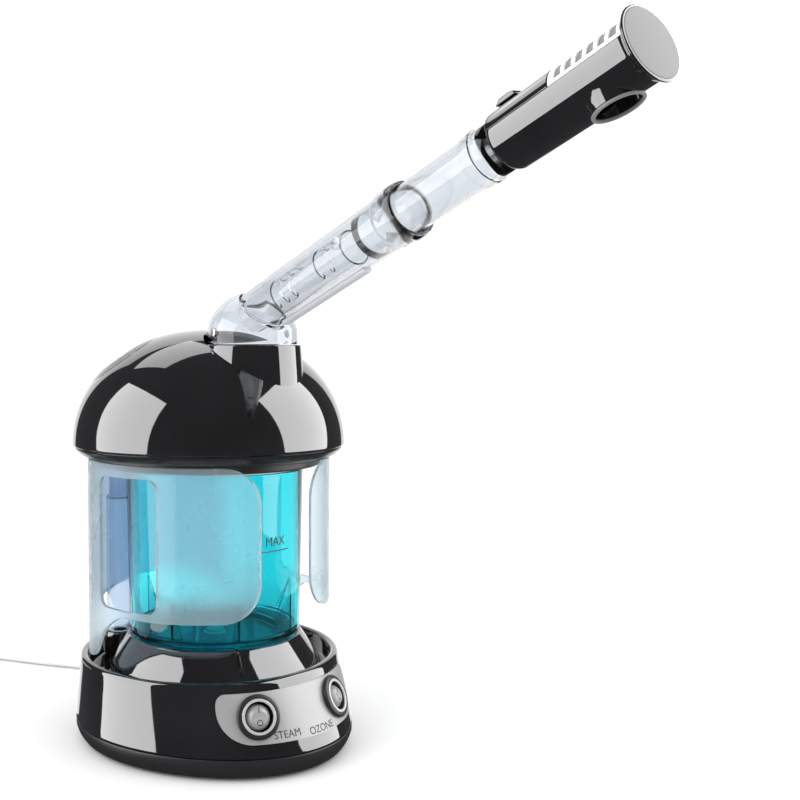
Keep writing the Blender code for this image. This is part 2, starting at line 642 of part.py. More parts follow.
def build_electrics():
    """Mains board, ozone lamp and its supply, between the boiler and the base wall."""
    box("circuit_board", (0.0420, 0.0200, 0.0016), "circuit_green", at(0.0, -0.0520, 0.0120))
    lamp = frame_matrix(Vector((-0.0450, -0.0080, 0.0200)), Vector((1, 0, 0)), Vector((0, 0, -1)),
                        Vector((0, 1, 0)))
    turned("ozone_lamp", [
        (0, 0.0150), (0.0020, 0.0144), (0.0034, 0.0125), (0.0038, 0.0100), (0.0038, -0.0100), (0, -0.0100),
    ], "glass", lamp, 20)
    turned("lamp_holder", [
        (0, -0.0103), (0.0046, -0.0103), (0.0046, -0.0190), (0, -0.0190),
    ], "white_plastic", lamp, 20)


# ---------------------------------------------------------------- tank and sleeve
def build_tank():
    bottom = SEAT_TOP + CLEARANCE
    top = bottom + TANK_HEIGHT
    tank = turned("water_tank", [
        (TANK_TOP_RADIUS - TANK_WALL, top), (TANK_TOP_RADIUS, top), (TANK_BOTTOM_RADIUS, bottom + 0.0012),
        (TANK_BOTTOM_RADIUS - 0.0010, bottom), (0.0382, bottom), (0.0372, bottom - 0.0040),
        (VALVE_RADIUS + CLEARANCE, bottom - 0.0040), (VALVE_RADIUS + CLEARANCE, bottom - 0.0020),
        (0.0345, bottom - 0.0020), (0.0355, bottom + 0.0020),
        (TANK_BOTTOM_RADIUS - TANK_WALL, bottom + 0.0020),
    ], "teal_clear", at(0, -TANK_OFFSET), 40, closed=True)
    inner = TANK_BOTTOM_RADIUS - TANK_WALL
    for i in range(8):
        angle = 45.0 * i + 22.5
        out = direction_at(angle)
        across = Vector((0, 0, 1)).cross(out)
        frame = frame_matrix(Vector((0, -TANK_OFFSET, 0)), out, Vector((0, 0, 1)), -across)
        gusset = as_cutter(prism(f"gusset_{i}", [
            (0.0358, bottom - 0.0005), (0.0400, bottom + 0.0010), (inner + 0.0008, bottom + 0.0010),
            (inner + 0.0012, bottom + 0.0240), (inner - 0.0002, bottom + 0.0230), (0.0350, bottom + 0.0005),
        ], 0.0007, None, frame, CUTTERS))
        boolean(tank, gusset, "UNION")
    turned("tank_valve", [
        (0, bottom - 0.0004), (0.0050, bottom - 0.0004), (0.0050, bottom - 0.0016),
        (VALVE_RADIUS - 0.0004, bottom - 0.0020), (VALVE_RADIUS, bottom - 0.0040),
        (VALVE_RADIUS, bottom - 0.0060),
        (0.0030, bottom - 0.0060), (0.0030, bottom - 0.0086), (0, bottom - 0.0086),
    ], "white_plastic", at(0, -TANK_OFFSET), 24)


def opening_outline():
    """Front opening of the sleeve: a straight-sided gap that flares in rounded corners."""
    half, corner = OPENING_HALF_WIDTH, OPENING_CORNER
    wide = half + corner
    right = [(wide, SLEEVE_TOP + 0.004)]
    for i in range(9):
        angle = math.radians(90 + 90 * i / 8)
        right.append((wide + corner * math.cos(angle), SLEEVE_TOP - corner + corner * math.sin(angle)))
    for i in range(9):
        angle = math.radians(180 + 90 * i / 8)
        right.append((wide + corner * math.cos(angle), SLEEVE_BOTTOM + corner + corner * math.sin(angle)))
    right.append((wide, SLEEVE_BOTTOM - 0.004))
    return right + [(-x, y) for x, y in reversed(right)]


def leg_outline():
    """Everything under the sleeve's lower edge except the two legs, seen from the side."""
    c, w = LEG_CENTRE, LEG_HALF_WIDTH
    side = [(-0.29, SLEEVE_BOTTOM)]
    low = LEG_BOTTOM
    rise = SLEEVE_BOTTOM - low
    front = [(c - w - 0.020, SLEEVE_BOTTOM - 0.0006), (c - w - 0.0135, SLEEVE_BOTTOM - 0.0036),
             (c - w - 0.0065, SLEEVE_BOTTOM - 0.0088), (c - w - 0.0020, low + rise * 0.42),
             (c - w + 0.0020, low + 0.0046), (c - w + 0.0070, low + 0.0008), (c - 0.0030, low)]
    back = [(2 * c - y, z) for y, z in reversed(front)]
    return side + front + back + [(0.29, SLEEVE_BOTTOM), (0.29, 0.02), (-0.29, 0.02)]


def build_sleeve():
    sleeve = turned("frosted_sleeve", [
        (SLEEVE_RADIUS - SLEEVE_WALL, SLEEVE_TOP - 0.0004),
        (SLEEVE_RADIUS - SLEEVE_WALL + 0.0005, SLEEVE_TOP),
        (SLEEVE_RADIUS - 0.0005, SLEEVE_TOP), (SLEEVE_RADIUS, SLEEVE_TOP - 0.0005),
        (SLEEVE_RADIUS, 0.0450), (SLEEVE_RADIUS - SLEEVE_WALL, 0.0450),
    ], "frosted", steps=64, closed=True)
    front = frame_matrix(Vector((0, -SLEEVE_RADIUS, 0)), Vector((1, 0, 0)), Vector((0, 0, 1)),
        Vector((0, -1, 0)))
    boolean(sleeve, as_cutter(prism("opening_cutter", opening_outline(), 0.0400, None, front, CUTTERS)))
    side = frame_matrix(Vector((0, 0, 0)), Vector((0, 1, 0)), Vector((0, 0, 1)), Vector((1, 0, 0)))
    boolean(sleeve, as_cutter(prism("leg_cutter", leg_outline(), 0.1000, None, side, CUTTERS)))
    window = rounded_rectangle(WINDOW_HALF_WIDTH, WINDOW_BOTTOM, WINDOW_TOP, WINDOW_CORNER)
    for sign in (-1, 1):
        out = direction_at(sign * WINDOW_AZIMUTH)
        across = Vector((0, 0, 1)).cross(out)
        place = frame_matrix(out * SLEEVE_RADIUS, across, Vector((0, 0, 1)), out)
        name = "window_cutter_left" if sign < 0 else "window_cutter_right"
        boolean(sleeve, as_cutter(prism(name, window, 0.0300, None, place, CUTTERS)))


# ---------------------------------------------------------------- dome
def dome_profile(radius, top, bottom):
    """Quarter superellipse from the top down, then the cut across its mouth."""
    points = [(0, top)]
    for i in range(1, 12):
        angle = math.radians(90 - 90 * i / 12)
        points.append((radius * math.cos(angle) ** (2 / DOME_POWER),
                       DOME_BOTTOM + (top - DOME_BOTTOM) * math.sin(angle) ** (2 / DOME_POWER)))
    return points + [(radius, DOME_BOTTOM + 0.0016), (radius - 0.0008, bottom), (0, bottom)]


def lens_frame(depth=0.0):
    """Origin where the window's plane is nearest the dome's middle, Z along its normal."""
    middle = Vector((0, 0, DOME_BOTTOM))
    origin = middle + LENS_NORMAL * (LENS_DISTANCE - middle.dot(LENS_NORMAL) - depth)
    across = LENS_NORMAL.cross(Vector((0, 0, 1))).normalized()
    return frame_matrix(origin, across, LENS_NORMAL.cross(across).normalized(), LENS_NORMAL)


def build_dome():
    dome = turned("dome_shell", dome_profile(DOME_RADIUS, DOME_TOP, DOME_BOTTOM), "black_gloss", steps=48)
    boss_place = at(0, -BOSS_OFFSET)
    boss = as_cutter(turned("boss_cutter", [
        (0, BOSS_TOP), (BOSS_TOP_RADIUS - 0.0005, BOSS_TOP), (BOSS_TOP_RADIUS, BOSS_TOP - 0.0006),
        (BOSS_FOOT_RADIUS, 0.1830), (0, 0.1830),
    ], None, boss_place, 48, collection=CUTTERS))
    boolean(dome, boss, "UNION")
    boolean(dome, cutting_bar("elbow_pocket", BOSS_TOP_RADIUS + 0.0004, BOSS_TOP + 0.0001, 0.2400,
        boss_place, 48))
    inner = as_cutter(turned("dome_inside", [
        (r, z) for r, z in dome_profile(DOME_RADIUS - WALL, DOME_TOP - WALL, DOME_BOTTOM - 0.0100)
    ], None, steps=40, collection=CUTTERS))
    boolean(dome, inner)
    boolean(dome, cutting_bar("boss_bore", BOSS_BORE, 0.1800, 0.2300, boss_place, 40))
    slab = as_cutter(box("lens_slab", (0.0900, 0.0900, 0.0400), None,
                         lens_frame(LENS_THICKNESS + CLEARANCE) @ at(0, 0, 0.0200), 0, CUTTERS))
    boolean(dome, slab)
    turned("dome_trim_ring", [
        (COLLAR_RADIUS + 0.0052, DOME_BOTTOM - CLEARANCE), (DOME_RADIUS - 0.0012, DOME_BOTTOM - CLEARANCE),
        (DOME_RADIUS - 0.0016, DOME_BOTTOM - 0.0016), (TRIM_BOTTOM_RADIUS, TRIM_BOTTOM),
        (COLLAR_RADIUS + 0.0052, TRIM_BOTTOM),
    ], "grey_satin", steps=40, closed=True)
    lens = turned("rear_lens", dome_profile(DOME_RADIUS, DOME_TOP, DOME_BOTTOM), "clear", steps=48)
    keep = as_cutter(box("lens_keep", (0.0900, 0.0900, LENS_THICKNESS), None,
                         lens_frame(LENS_THICKNESS / 2), 0, CUTTERS))
    boolean(lens, keep, "INTERSECT")


def build_dome_inside():
    """Collar that locates the dome on the sleeve, the floor over the tank, and the steam duct."""
    centre = riser_centre()
    lip = SLEEVE_TOP + CLEARANCE
    collar = turned("dome_collar", [
        (COLLAR_RADIUS - 0.0020, TRIM_BOTTOM + 0.0030), (FLANGE_RADIUS, TRIM_BOTTOM + 0.0030),
        (FLANGE_RADIUS, lip), (COLLAR_RADIUS, lip), (COLLAR_RADIUS, COLLAR_BOTTOM),
        (TANK_TOP_RADIUS + 0.0080, COLLAR_BOTTOM), (TANK_TOP_RADIUS + 0.0080, COLLAR_BOTTOM + 0.0020),
        (COLLAR_RADIUS - 0.0020, COLLAR_BOTTOM + 0.0020),
    ], "black_satin", steps=40, closed=True)
    floor = turned("dome_floor", [
        (0, COLLAR_BOTTOM + 0.0043), (COLLAR_RADIUS - 0.0023, COLLAR_BOTTOM + 0.0043),
        (COLLAR_RADIUS - 0.0023, COLLAR_BOTTOM + 0.0023), (0, COLLAR_BOTTOM + 0.0023),
    ], "white_plastic", steps=40)
    for piece in (collar, floor):
        boolean(piece, cutting_bar(f"riser_gap_{piece.name}", RISER_RADIUS + 0.0010, 0.1450, 0.1620,
                                   at(centre.x, centre.y), 28))
    turned("tank_gasket", [
        (TANK_TOP_RADIUS - 0.0026, COLLAR_BOTTOM + 0.0020),
        (TANK_TOP_RADIUS + 0.0004, COLLAR_BOTTOM + 0.0020),
        (TANK_TOP_RADIUS + 0.0004, SEAT_TOP + TANK_HEIGHT + 2 * CLEARANCE),
        (TANK_TOP_RADIUS - 0.0026, SEAT_TOP + TANK_HEIGHT + 2 * CLEARANCE),
    ], "silicone", at(0, -TANK_OFFSET), 36, closed=True)
    top = RISER_TOP + 0.0150
    turned("riser_grommet", [
        (0.0034, top + 0.0060), (RISER_RADIUS + 0.0004, top + 0.0060),
        (RISER_RADIUS + 0.0004, top + CLEARANCE),
        (0.0034, top + CLEARANCE),
    ], "silicone", at(centre.x, centre.y), 24, closed=True)
    start = Vector((centre.x, centre.y, top + 0.0060 + CLEARANCE))
    end = Vector((0, -BOSS_OFFSET, BOSS_TOP - 0.0130))
    low = start + Vector((0, 0, 0.0060))
    points = interpolate_bezier(low, low + Vector((0, 0, 0.0240)), end - Vector((0, 0, 0.0200)), end, 12)
    tube_along("steam_duct", [start] + [Vector(p) for p in points], 0.0072, 0.0012, "silicone", 14)
    turned("swivel_seal", [
        (0.0084, BOSS_TOP - CLEARANCE), (BOSS_BORE - CLEARANCE, BOSS_TOP - CLEARANCE),
        (BOSS_BORE - CLEARANCE, BOSS_TOP - 0.0024), (0.0084, BOSS_TOP - 0.0024),
    ], "silicone", at(0, -BOSS_OFFSET), 28, closed=True)


# ---------------------------------------------------------------- arm
def mitre_normal():
    return (Vector((0, 0, 1)) + ARM_DIRECTION).normalized()


def mitred_ring(radius, shift, count=32):
    """Ring of a tube on the arm's axis, cut by the plane halfway between upright and the arm."""
    normal = mitre_normal()
    ring = []
    for point in ring_of(Vector((0, 0, 0)), ARM_DIRECTION, radius, -ARM_SIDE, count):
        slide = -point.dot(normal) / ARM_DIRECTION.dot(normal)
        ring.append(ARM_PIVOT + point + ARM_DIRECTION * (slide + shift))
    return ring


def build_elbow():
    boss = Vector((0, -BOSS_OFFSET, 0))
    upright = Vector((0, 0, 1))
    base = BOSS_TOP + CLEARANCE
    rings = [ring_of(boss + upright * z, upright, ELBOW_RADIUS, -ARM_SIDE)
             for z in (base, ELBOW_SHOULDER)]
    mouth = mitred_ring(LOWER_RADIUS + 0.0003, ELBOW_MOUTH)
    start = rings[-1]
    steps = 7
    for i in range(1, steps):
        share = i / steps
        rise = math.sin(share * math.pi / 2)
        draw_in = 1 - math.cos(share * math.pi / 2)
        ring = []
        for low, high in zip(start, mouth):
            ring.append(Vector((low.x + (high.x - low.x) * draw_in, low.y + (high.y - low.y) * draw_in,
                                low.z + (high.z - low.z) * rise)))
        rings.append(ring)
    rings.append(mouth)
    lofted_shell("elbow", rings, ELBOW_WALL, "clear")
    for i, sign in enumerate((-1, 1)):
        place = boss + upright * (base + 0.0060) + ARM_SIDE * sign * (ELBOW_RADIUS + CLEARANCE)
        out = ARM_SIDE * sign
        matrix = frame_matrix(place, ARM_DIRECTION.cross(out).cross(out).normalized() * -1,
                              out.cross(ARM_DIRECTION.cross(out).cross(out) * -1).normalized(), out)
        turned(f"elbow_screw_{i + 1}", [
            (0, 0.0012), (0.0018, 0.0012), (0.0026, 0.0004), (0.0026, 0.0003), (0, 0.0003),
        ], "steel", matrix, 16)


def build_lower_arm():
    rings = [mitred_ring(LOWER_RADIUS, ELBOW_MOUTH + CLEARANCE * 1.5)]
    for distance in (0.0300, 0.0700, COLLAR_END):
        rings.append(ring_of(ARM_PIVOT + ARM_DIRECTION * distance, ARM_DIRECTION, LOWER_RADIUS, -ARM_SIDE))
    tube = lofted_shell("lower_tube", rings, LOWER_WALL, "clear")
    rail = as_cutter(box("rail_cutter", (0.0050, 0.0030, 0.0680), None,
                         along_arm(0.0610) @ at(0, -LOWER_RADIUS - 0.0006, 0), 0, CUTTERS))
    boolean(tube, rail, "UNION")
    liner_rings = [ring_of(ARM_PIVOT + ARM_DIRECTION * d, ARM_DIRECTION, LINER_RADIUS, -ARM_SIDE, 24)
                   for d in (0.0010, 0.0450, LINER_END)]
    liner = lofted_shell("steam_liner", liner_rings, LINER_WALL, "clear")
    for i, distance in enumerate((0.0340, 0.0415, 0.0490, 0.0715, 0.0795)):
        slot = as_cutter(box(f"slot_{i}", (0.0220, 0.0110, 0.0026), None,
                             along_arm(distance) @ at(-0.0041, 0.0041, 0), 0, CUTTERS))
        boolean(liner, slot)
    turned("tube_collar", [
        (LOWER_RADIUS + CLEARANCE, 0.0), (COLLAR_RING_RADIUS + 0.0002, -0.0006),
        (COLLAR_RING_RADIUS + 0.0008, -0.0030), (COLLAR_RING_RADIUS + 0.0008, -0.0120),
        (LOWER_RADIUS + CLEARANCE, -0.0135),
    ], "clear", along_arm(COLLAR_END), 32, closed=True)
    place = ARM_PIVOT + ARM_DIRECTION * LOCK_BUTTON_AT + ARM_SIDE * (LOWER_RADIUS + CLEARANCE)
    turned("lock_button", [
        (0, 0.0012), (0.0022, 0.0012), (0.0031, 0.0006), (0.0031, 0.0), (0, 0.0),
    ], "clear", frame_matrix(place, ARM_DIRECTION, ARM_SIDE.cross(ARM_DIRECTION), ARM_SIDE), 20)


def build_upper_arm():
    taper = lambda d: UPPER_START_RADIUS + (UPPER_END_RADIUS - UPPER_START_RADIUS) * (
        (d - UPPER_START) / (UPPER_END - UPPER_START))
    rings = [ring_of(ARM_PIVOT + ARM_DIRECTION * d, ARM_DIRECTION, taper(d), -ARM_SIDE)
             for d in (UPPER_START, UPPER_END)]
    lofted_shell("upper_tube", rings, UPPER_WALL, "clear")
    inner = taper(UPPER_END) + CLEARANCE
    turned("neck_ring", [
        (inner, 0.0060), (inner + 0.0007, 0.0056), (inner + 0.0007, 0.0004), (inner, 0.0),
    ], "clear", along_arm(0.1735), 32, closed=True)


# ---------------------------------------------------------------- head
def on_head(distance):
    """Like along_arm, turned by the head's roll."""
    return along_arm(distance) @ Matrix.Rotation(math.radians(HEAD_ROLL), 4, "Z")


def cover_outline(inner, outer, half_angle, steps=12):
    """End view of a curved cover over the head's top, between two radii."""
    angles = [math.radians(90 - half_angle + 2 * half_angle * i / steps) for i in range(steps + 1)]
    outline = [(outer * math.cos(a), outer * math.sin(a)) for a in angles]
    return outline + [(inner * math.cos(a), inner * math.sin(a)) for a in reversed(angles)]


def build_head():
    start = on_head(HEAD_START)
    length = HEAD_END - HEAD_START
    bore = HEAD_RADIUS - HEAD_WALL
    head = turned("head_shell", [
        (0, length), (HEAD_RADIUS + 0.0006, length), (HEAD_RADIUS, length - 0.0016), (HEAD_RADIUS, 0.0045),
        (HEAD_RADIUS - 0.0006, 0.0014), (HEAD_RADIUS - 0.0016, 0.0), (0, 0.0),
    ], "black_gloss", start, 40)
    gap = math.degrees(CLEARANCE / COVER_RADIUS)
    recess = as_cutter(prism("cover_recess", cover_outline(
        COVER_INNER_RADIUS - CLEARANCE, COVER_RADIUS + 0.0040, COVER_HALF_ANGLE + gap, 16),
        length / 2 + 0.0050, None, start @ at(0, 0, length / 2), CUTTERS))
    boolean(head, recess)
    down = nozzle_frame()
    spout = as_cutter(turned("spout_cutter", [
        (0, NOZZLE_REACH - 0.0012), (NOZZLE_RADIUS, NOZZLE_REACH - 0.0012),
        (NOZZLE_RADIUS + 0.0012, 0.0030),
        (0, 0.0030),
    ], None, down, 30, collection=CUTTERS))
    boolean(head, spout, "UNION")
    boolean(head, cutting_bar("head_bore", bore, 0.0050, length + 0.002, start, 36))
    boolean(head, cutting_bar("head_inlet", 0.0080, -0.002, 0.010, start, 24))
    boolean(head, cutting_bar("spout_bore", NOZZLE_BORE, 0.0, 0.02, down, 30))
    boolean(head, cutting_bar("ring_seat", NOZZLE_RADIUS + CLEARANCE, NOZZLE_REACH - 0.0011, 0.02,
        down, 32))
    turned("nozzle_ring", [
        (NOZZLE_BORE, NOZZLE_REACH), (NOZZLE_RADIUS - 0.0004, NOZZLE_REACH),
        (NOZZLE_RADIUS, NOZZLE_REACH - 0.0004),
        (NOZZLE_RADIUS, NOZZLE_REACH - 0.0009), (NOZZLE_BORE, NOZZLE_REACH - 0.0009),
    ], "grey_disc", down, 28, closed=True)


def nozzle_frame():
    """Local Z out of the nozzle, local Y towards the arm's end, origin on the head's axis."""
    turn = Matrix.Rotation(math.radians(90 - NOZZLE_TILT), 4, "X")
    return on_head(NOZZLE_AT) @ turn


def build_head_top():
    """Black cover and clear ribbed window, curved with the head; both lie in its recess."""
    outline = cover_outline(COVER_INNER_RADIUS, COVER_RADIUS, COVER_HALF_ANGLE)
    length = COVER_END - HEAD_START - 0.0005
    prism("top_strip", outline, length / 2, "black_gloss", on_head(HEAD_START + 0.0005 + length / 2))
    length = HEAD_END - GRILLE_START - CLEARANCE
    grille = prism("grille_window", outline, length / 2, "clear", on_head(GRILLE_START + length / 2))
    for i in range(6):
        slot = as_cutter(prism(f"slot_cutter_{i}", cover_outline(
            COVER_INNER_RADIUS - 0.0040, COVER_RADIUS + 0.0040, COVER_HALF_ANGLE - 14, 8), 0.0017, None,
            on_head(GRILLE_START + 0.0046 + 0.0051 * i), CUTTERS))
        boolean(grille, slot)
    tab = [(-0.0055, 0.0), (0.0055, 0.0), (0.0048, 0.0016), (0.0020, 0.0023), (-0.0030, 0.0021)]
    place = on_head(HEAD_START + 0.0085) @ at(0, COVER_RADIUS + CLEARANCE, 0)
    turn = Matrix(((0, 0, -1, 0), (0, 1, 0, 0), (1, 0, 0, 0), (0, 0, 0, 1)))
    prism("thumb_tab", tab, 0.0042, "black_gloss", place @ turn)


def build_cap():
    end = along_arm(HEAD_END + CLEARANCE)
    turned("end_cap", [
        (0, CAP_THICKNESS), (CAP_RADIUS - 0.0005, CAP_THICKNESS), (CAP_RADIUS, CAP_THICKNESS - 0.0007),
        (CAP_RADIUS, 0.0010), (HEAD_RADIUS + 0.0006, 0.0), (0, 0.0),
    ], "grey_disc", end, 40)
    bore = HEAD_RADIUS - HEAD_WALL
    turned("aroma_basket", [
        (0, -CLEARANCE), (bore - 0.0018, -CLEARANCE), (bore - 0.0018, -0.0120), (bore - 0.0026, -0.0120),
        (bore - 0.0026, -0.0016), (0, -0.0016),
    ], "white_plastic", end, 24)


# ---------------------------------------------------------------- mains cord
def smooth_route(points, per_span):
    """Catmull-Rom curve through hand-placed points."""
    points = [Vector(p) for p in points]
    ends = [2 * points[0] - points[1]] + points + [2 * points[-1] - points[-2]]
    curve = []
    for i in range(1, len(ends) - 2):
        a, b, c, d = ends[i - 1:i + 3]
        for step in range(per_span):
            t = step / per_span
            curve.append(0.5 * ((2 * b) + (c - a) * t + (2 * a - 5 * b + 4 * c - d) * t ** 2
                                + (3 * b - a - 3 * c + d) * t ** 3))
    return curve + [points[-1]]


def build_cord():
    gland = frame_matrix(Vector((0, BASE_RADIUS, CORD_HEIGHT)), Vector((1, 0, 0)), Vector((0, 0, -1)),
                         Vector((0, 1, 0)))
    turned("strain_relief", [
        (0, RELIEF_LENGTH + 0.0012), (CORD_DIAMETER / 2 + 0.0004, RELIEF_LENGTH + 0.0010),
        (0.0044, 0.0040), (0.0060, 0.0034), (0.0060, 0.0009), (0.0040, 0.0009), (0.0040, -0.0060),
        (0, -0.0060),
    ], "white_plastic", gland, 20)
    curve = bpy.data.curves.new("power_cord", "CURVE")
    curve.dimensions = "3D"
    curve.bevel_depth = CORD_DIAMETER / 2
    curve.bevel_resolution = 2
    curve.use_fill_caps = True
    spline = curve.splines.new("POLY")
    points = smooth_route(CORD_ROUTE, 1)
    spline.points.add(len(points) - 1)
    for target, point in zip(spline.points, points):
        target.co = (*point, 1)
    cord = bpy.data.objects.new("power_cord", curve)
    PARTS.objects.link(cord)
    curve.materials.append(material("white_plastic"))
    half = COIL_LAYERS * CORD_DIAMETER / 2
    height = COIL_LAYERS * CORD_DIAMETER
    turned("cord_coil", [
        (COIL_MEAN_RADIUS - half, height), (COIL_MEAN_RADIUS + half, height),
        (COIL_MEAN_RADIUS + half, CLEARANCE), (COIL_MEAN_RADIUS - half, CLEARANCE),
    ], "white_plastic", at(*COIL_CENTRE), 40, closed=True)
    plug = COIL_CENTRE + Vector((-0.0560, 0.0140, 0.0084))
    box("plug_body", (0.0220, 0.0340, 0.0160), "white_plastic", at(*plug), 0.0030)
    for i, sign in enumerate((-1, 1)):
        box(f"plug_pin_{i + 1}", (0.0016, 0.0170, 0.0062), "brass",
            at(plug.x + sign * 0.0064, plug.y + 0.0170 + CLEARANCE + 0.0085, plug.z), 0)


def main():
    build_base_shell()
    build_bottom_plate()
    build_control_plate()
    build_switch("steam", STEAM_AZIMUTH)
    build_switch("ozone", OZONE_AZIMUTH)
    build_tank_seat()
    build_boiler()
    build_riser()
    build_electrics()
    build_tank()
    build_sleeve()
    build_dome()
    build_dome_inside()
    build_elbow()
    build_lower_arm()
    build_upper_arm()
    build_head()
    build_head_top()
    build_cap()
    build_cord()


main()
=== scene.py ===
import json
import math

import bmesh
import bpy
import numpy as np
from mathutils import Matrix, Vector

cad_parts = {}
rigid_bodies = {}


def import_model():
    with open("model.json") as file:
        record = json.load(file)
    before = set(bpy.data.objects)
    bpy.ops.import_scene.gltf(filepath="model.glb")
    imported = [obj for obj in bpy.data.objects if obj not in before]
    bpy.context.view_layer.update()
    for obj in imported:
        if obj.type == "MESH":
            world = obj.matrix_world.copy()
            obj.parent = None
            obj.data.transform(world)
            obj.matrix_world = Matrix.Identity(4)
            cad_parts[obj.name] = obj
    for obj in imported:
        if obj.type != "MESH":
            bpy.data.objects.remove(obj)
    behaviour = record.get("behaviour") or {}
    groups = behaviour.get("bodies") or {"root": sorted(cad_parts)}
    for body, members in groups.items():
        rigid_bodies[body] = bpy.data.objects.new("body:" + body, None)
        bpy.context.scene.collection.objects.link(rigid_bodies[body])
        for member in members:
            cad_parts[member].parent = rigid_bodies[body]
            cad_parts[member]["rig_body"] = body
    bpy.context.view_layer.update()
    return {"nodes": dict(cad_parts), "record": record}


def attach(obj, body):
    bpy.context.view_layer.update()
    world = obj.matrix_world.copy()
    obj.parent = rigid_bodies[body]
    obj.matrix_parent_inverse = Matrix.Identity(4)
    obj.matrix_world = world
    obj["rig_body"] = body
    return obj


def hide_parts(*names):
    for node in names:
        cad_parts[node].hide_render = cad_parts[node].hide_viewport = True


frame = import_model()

scene = bpy.context.scene

# ------ camera, lights and floor
view = {
    "place": (-0.3771, -0.4827, 0.2165), "heading": -41.17, "tilt": 87.086, "lens": 49.5, "shift": 0.1625,
}


def makeCamera():
    camera = bpy.data.objects.new("camera", bpy.data.cameras.new("camera"))
    scene.collection.objects.link(camera)
    camera.data.lens = view["lens"]
    camera.data.sensor_width = 36
    camera.data.shift_x = view["shift"]
    camera.data.clip_start = 0.01
    camera.location = view["place"]
    camera.rotation_euler = (math.radians(view["tilt"]), 0, math.radians(view["heading"]))
    scene.camera = camera


makeCamera()
lighting = {
    # azimuth, elevation, distance, width, height, watts, seen in reflections only
    "boxLeft": (-114, 13, 0.95, 0.97, 1.38, 17, True),
    "boxRight": (49, 20, 0.95, 0.95, 1.15, 14, True),
    "boxTop": (172, 60, 1.1, 0.6, 0.45, 1.6, True),
    "glowBack": (142, 12, 1.3, 1.8, 1.8, 11, True),
    "fillLeft": (-95, 40, 1.6, 1.2, 1.2, 9, False),
    "fillRight": (30, 45, 1.6, 1.2, 1.2, 6, False),
}


def makeLights():
    for name, (azimuth, elevation, distance, width, height, watts, mirrored) in lighting.items():
        lamp = bpy.data.lights.new(name, "AREA")
        lamp.shape = "RECTANGLE"
        lamp.size, lamp.size_y, lamp.energy = width, height, watts
        light = bpy.data.objects.new(name, lamp)
        scene.collection.objects.link(light)
        a, e = math.radians(azimuth), math.radians(elevation)
        away = Vector((math.sin(a) * math.cos(e), -math.cos(a) * math.cos(e), math.sin(e)))
        light.location = Vector((0, 0, 0.13)) + away * distance
        light.rotation_euler = away.to_track_quat("Z", "Y").to_euler()
        light.visible_camera = light.visible_transmission = False
        light.visible_diffuse = not mirrored
        light.visible_glossy = mirrored


makeLights()


def makeWorld():
    world = bpy.data.worlds.new("studio")
    scene.world = world
    world.use_nodes = True
    tree = world.node_tree
    tree.nodes.clear()
    out = tree.nodes.new("ShaderNodeOutputWorld")
    mix = tree.nodes.new("ShaderNodeMixShader")
    path = tree.nodes.new("ShaderNodeLightPath")
    white = tree.nodes.new("ShaderNodeBackground")
    dark = tree.nodes.new("ShaderNodeBackground")
    white.inputs["Color"].default_value = (1, 1, 1, 1)
    white.inputs["Strength"].default_value = 1.2
    dark.inputs["Color"].default_value = (0.075, 0.076, 0.08, 1)
    through = tree.nodes.new("ShaderNodeBackground")
    through.inputs["Color"].default_value = (0.80, 0.84, 0.90, 1)
    passing = tree.nodes.new("ShaderNodeMixShader")
    mirrored = tree.nodes.new("ShaderNodeMath")
    mirrored.operation = "MULTIPLY"
    tree.links.new(path.outputs["Is Glossy Ray"], mirrored.inputs[0])
    tree.links.new(path.outputs["Is Reflection Ray"], mirrored.inputs[1])
    tree.links.new(mirrored.outputs[0], mix.inputs[0])
    tree.links.new(path.outputs["Is Transmission Ray"], passing.inputs[0])
    tree.links.new(white.outputs[0], passing.inputs[1])
    tree.links.new(through.outputs[0], passing.inputs[2])
    tree.links.new(passing.outputs[0], mix.inputs[1])
    tree.links.new(dark.outputs[0], mix.inputs[2])
    tree.links.new(mix.outputs[0], out.inputs[0])


makeWorld()
scene.view_settings.view_transform = "Standard"
floorSize = 30.0


def makeFloor():
    mesh = bpy.data.meshes.new("floor")
    half = floorSize / 2
    mesh.from_pydata([(-half, -half, 0), (half, -half, 0), (half, half, 0), (-half, half, 0)], [],
                    [(0, 1, 2, 3)])
    floor = bpy.data.objects.new("floor", mesh)
    scene.collection.objects.link(floor)
    floor.location.z = -0.0002
    pale = bpy.data.materials.new("paleFloor")
    pale.use_nodes = True
    shader = pale.node_tree.nodes["Principled BSDF"]
    shader.inputs["Base Color"].default_value = (0.86, 0.86, 0.86, 1)
    shader.inputs["Roughness"].default_value = 0.9
    shader.inputs["Specular IOR Level"].default_value = 0.0
    mesh.materials.append(pale)
    floor.visible_glossy = False


makeFloor()
print("camera and lights are in")


# ------ shader maths
class Wire:  # one output of a node, so that shader maths reads as sums
    def __init__(self, paint, socket):
        self.paint, self.socket = paint, socket

    def maths(self, operation, other):
        return self.paint.node("ShaderNodeMath", {"operation": operation}, {0: self, 1: other})

    def __add__(self, other):
        return self.maths("ADD", other)

    def __mul__(self, other):
        return self.maths("MULTIPLY", other)


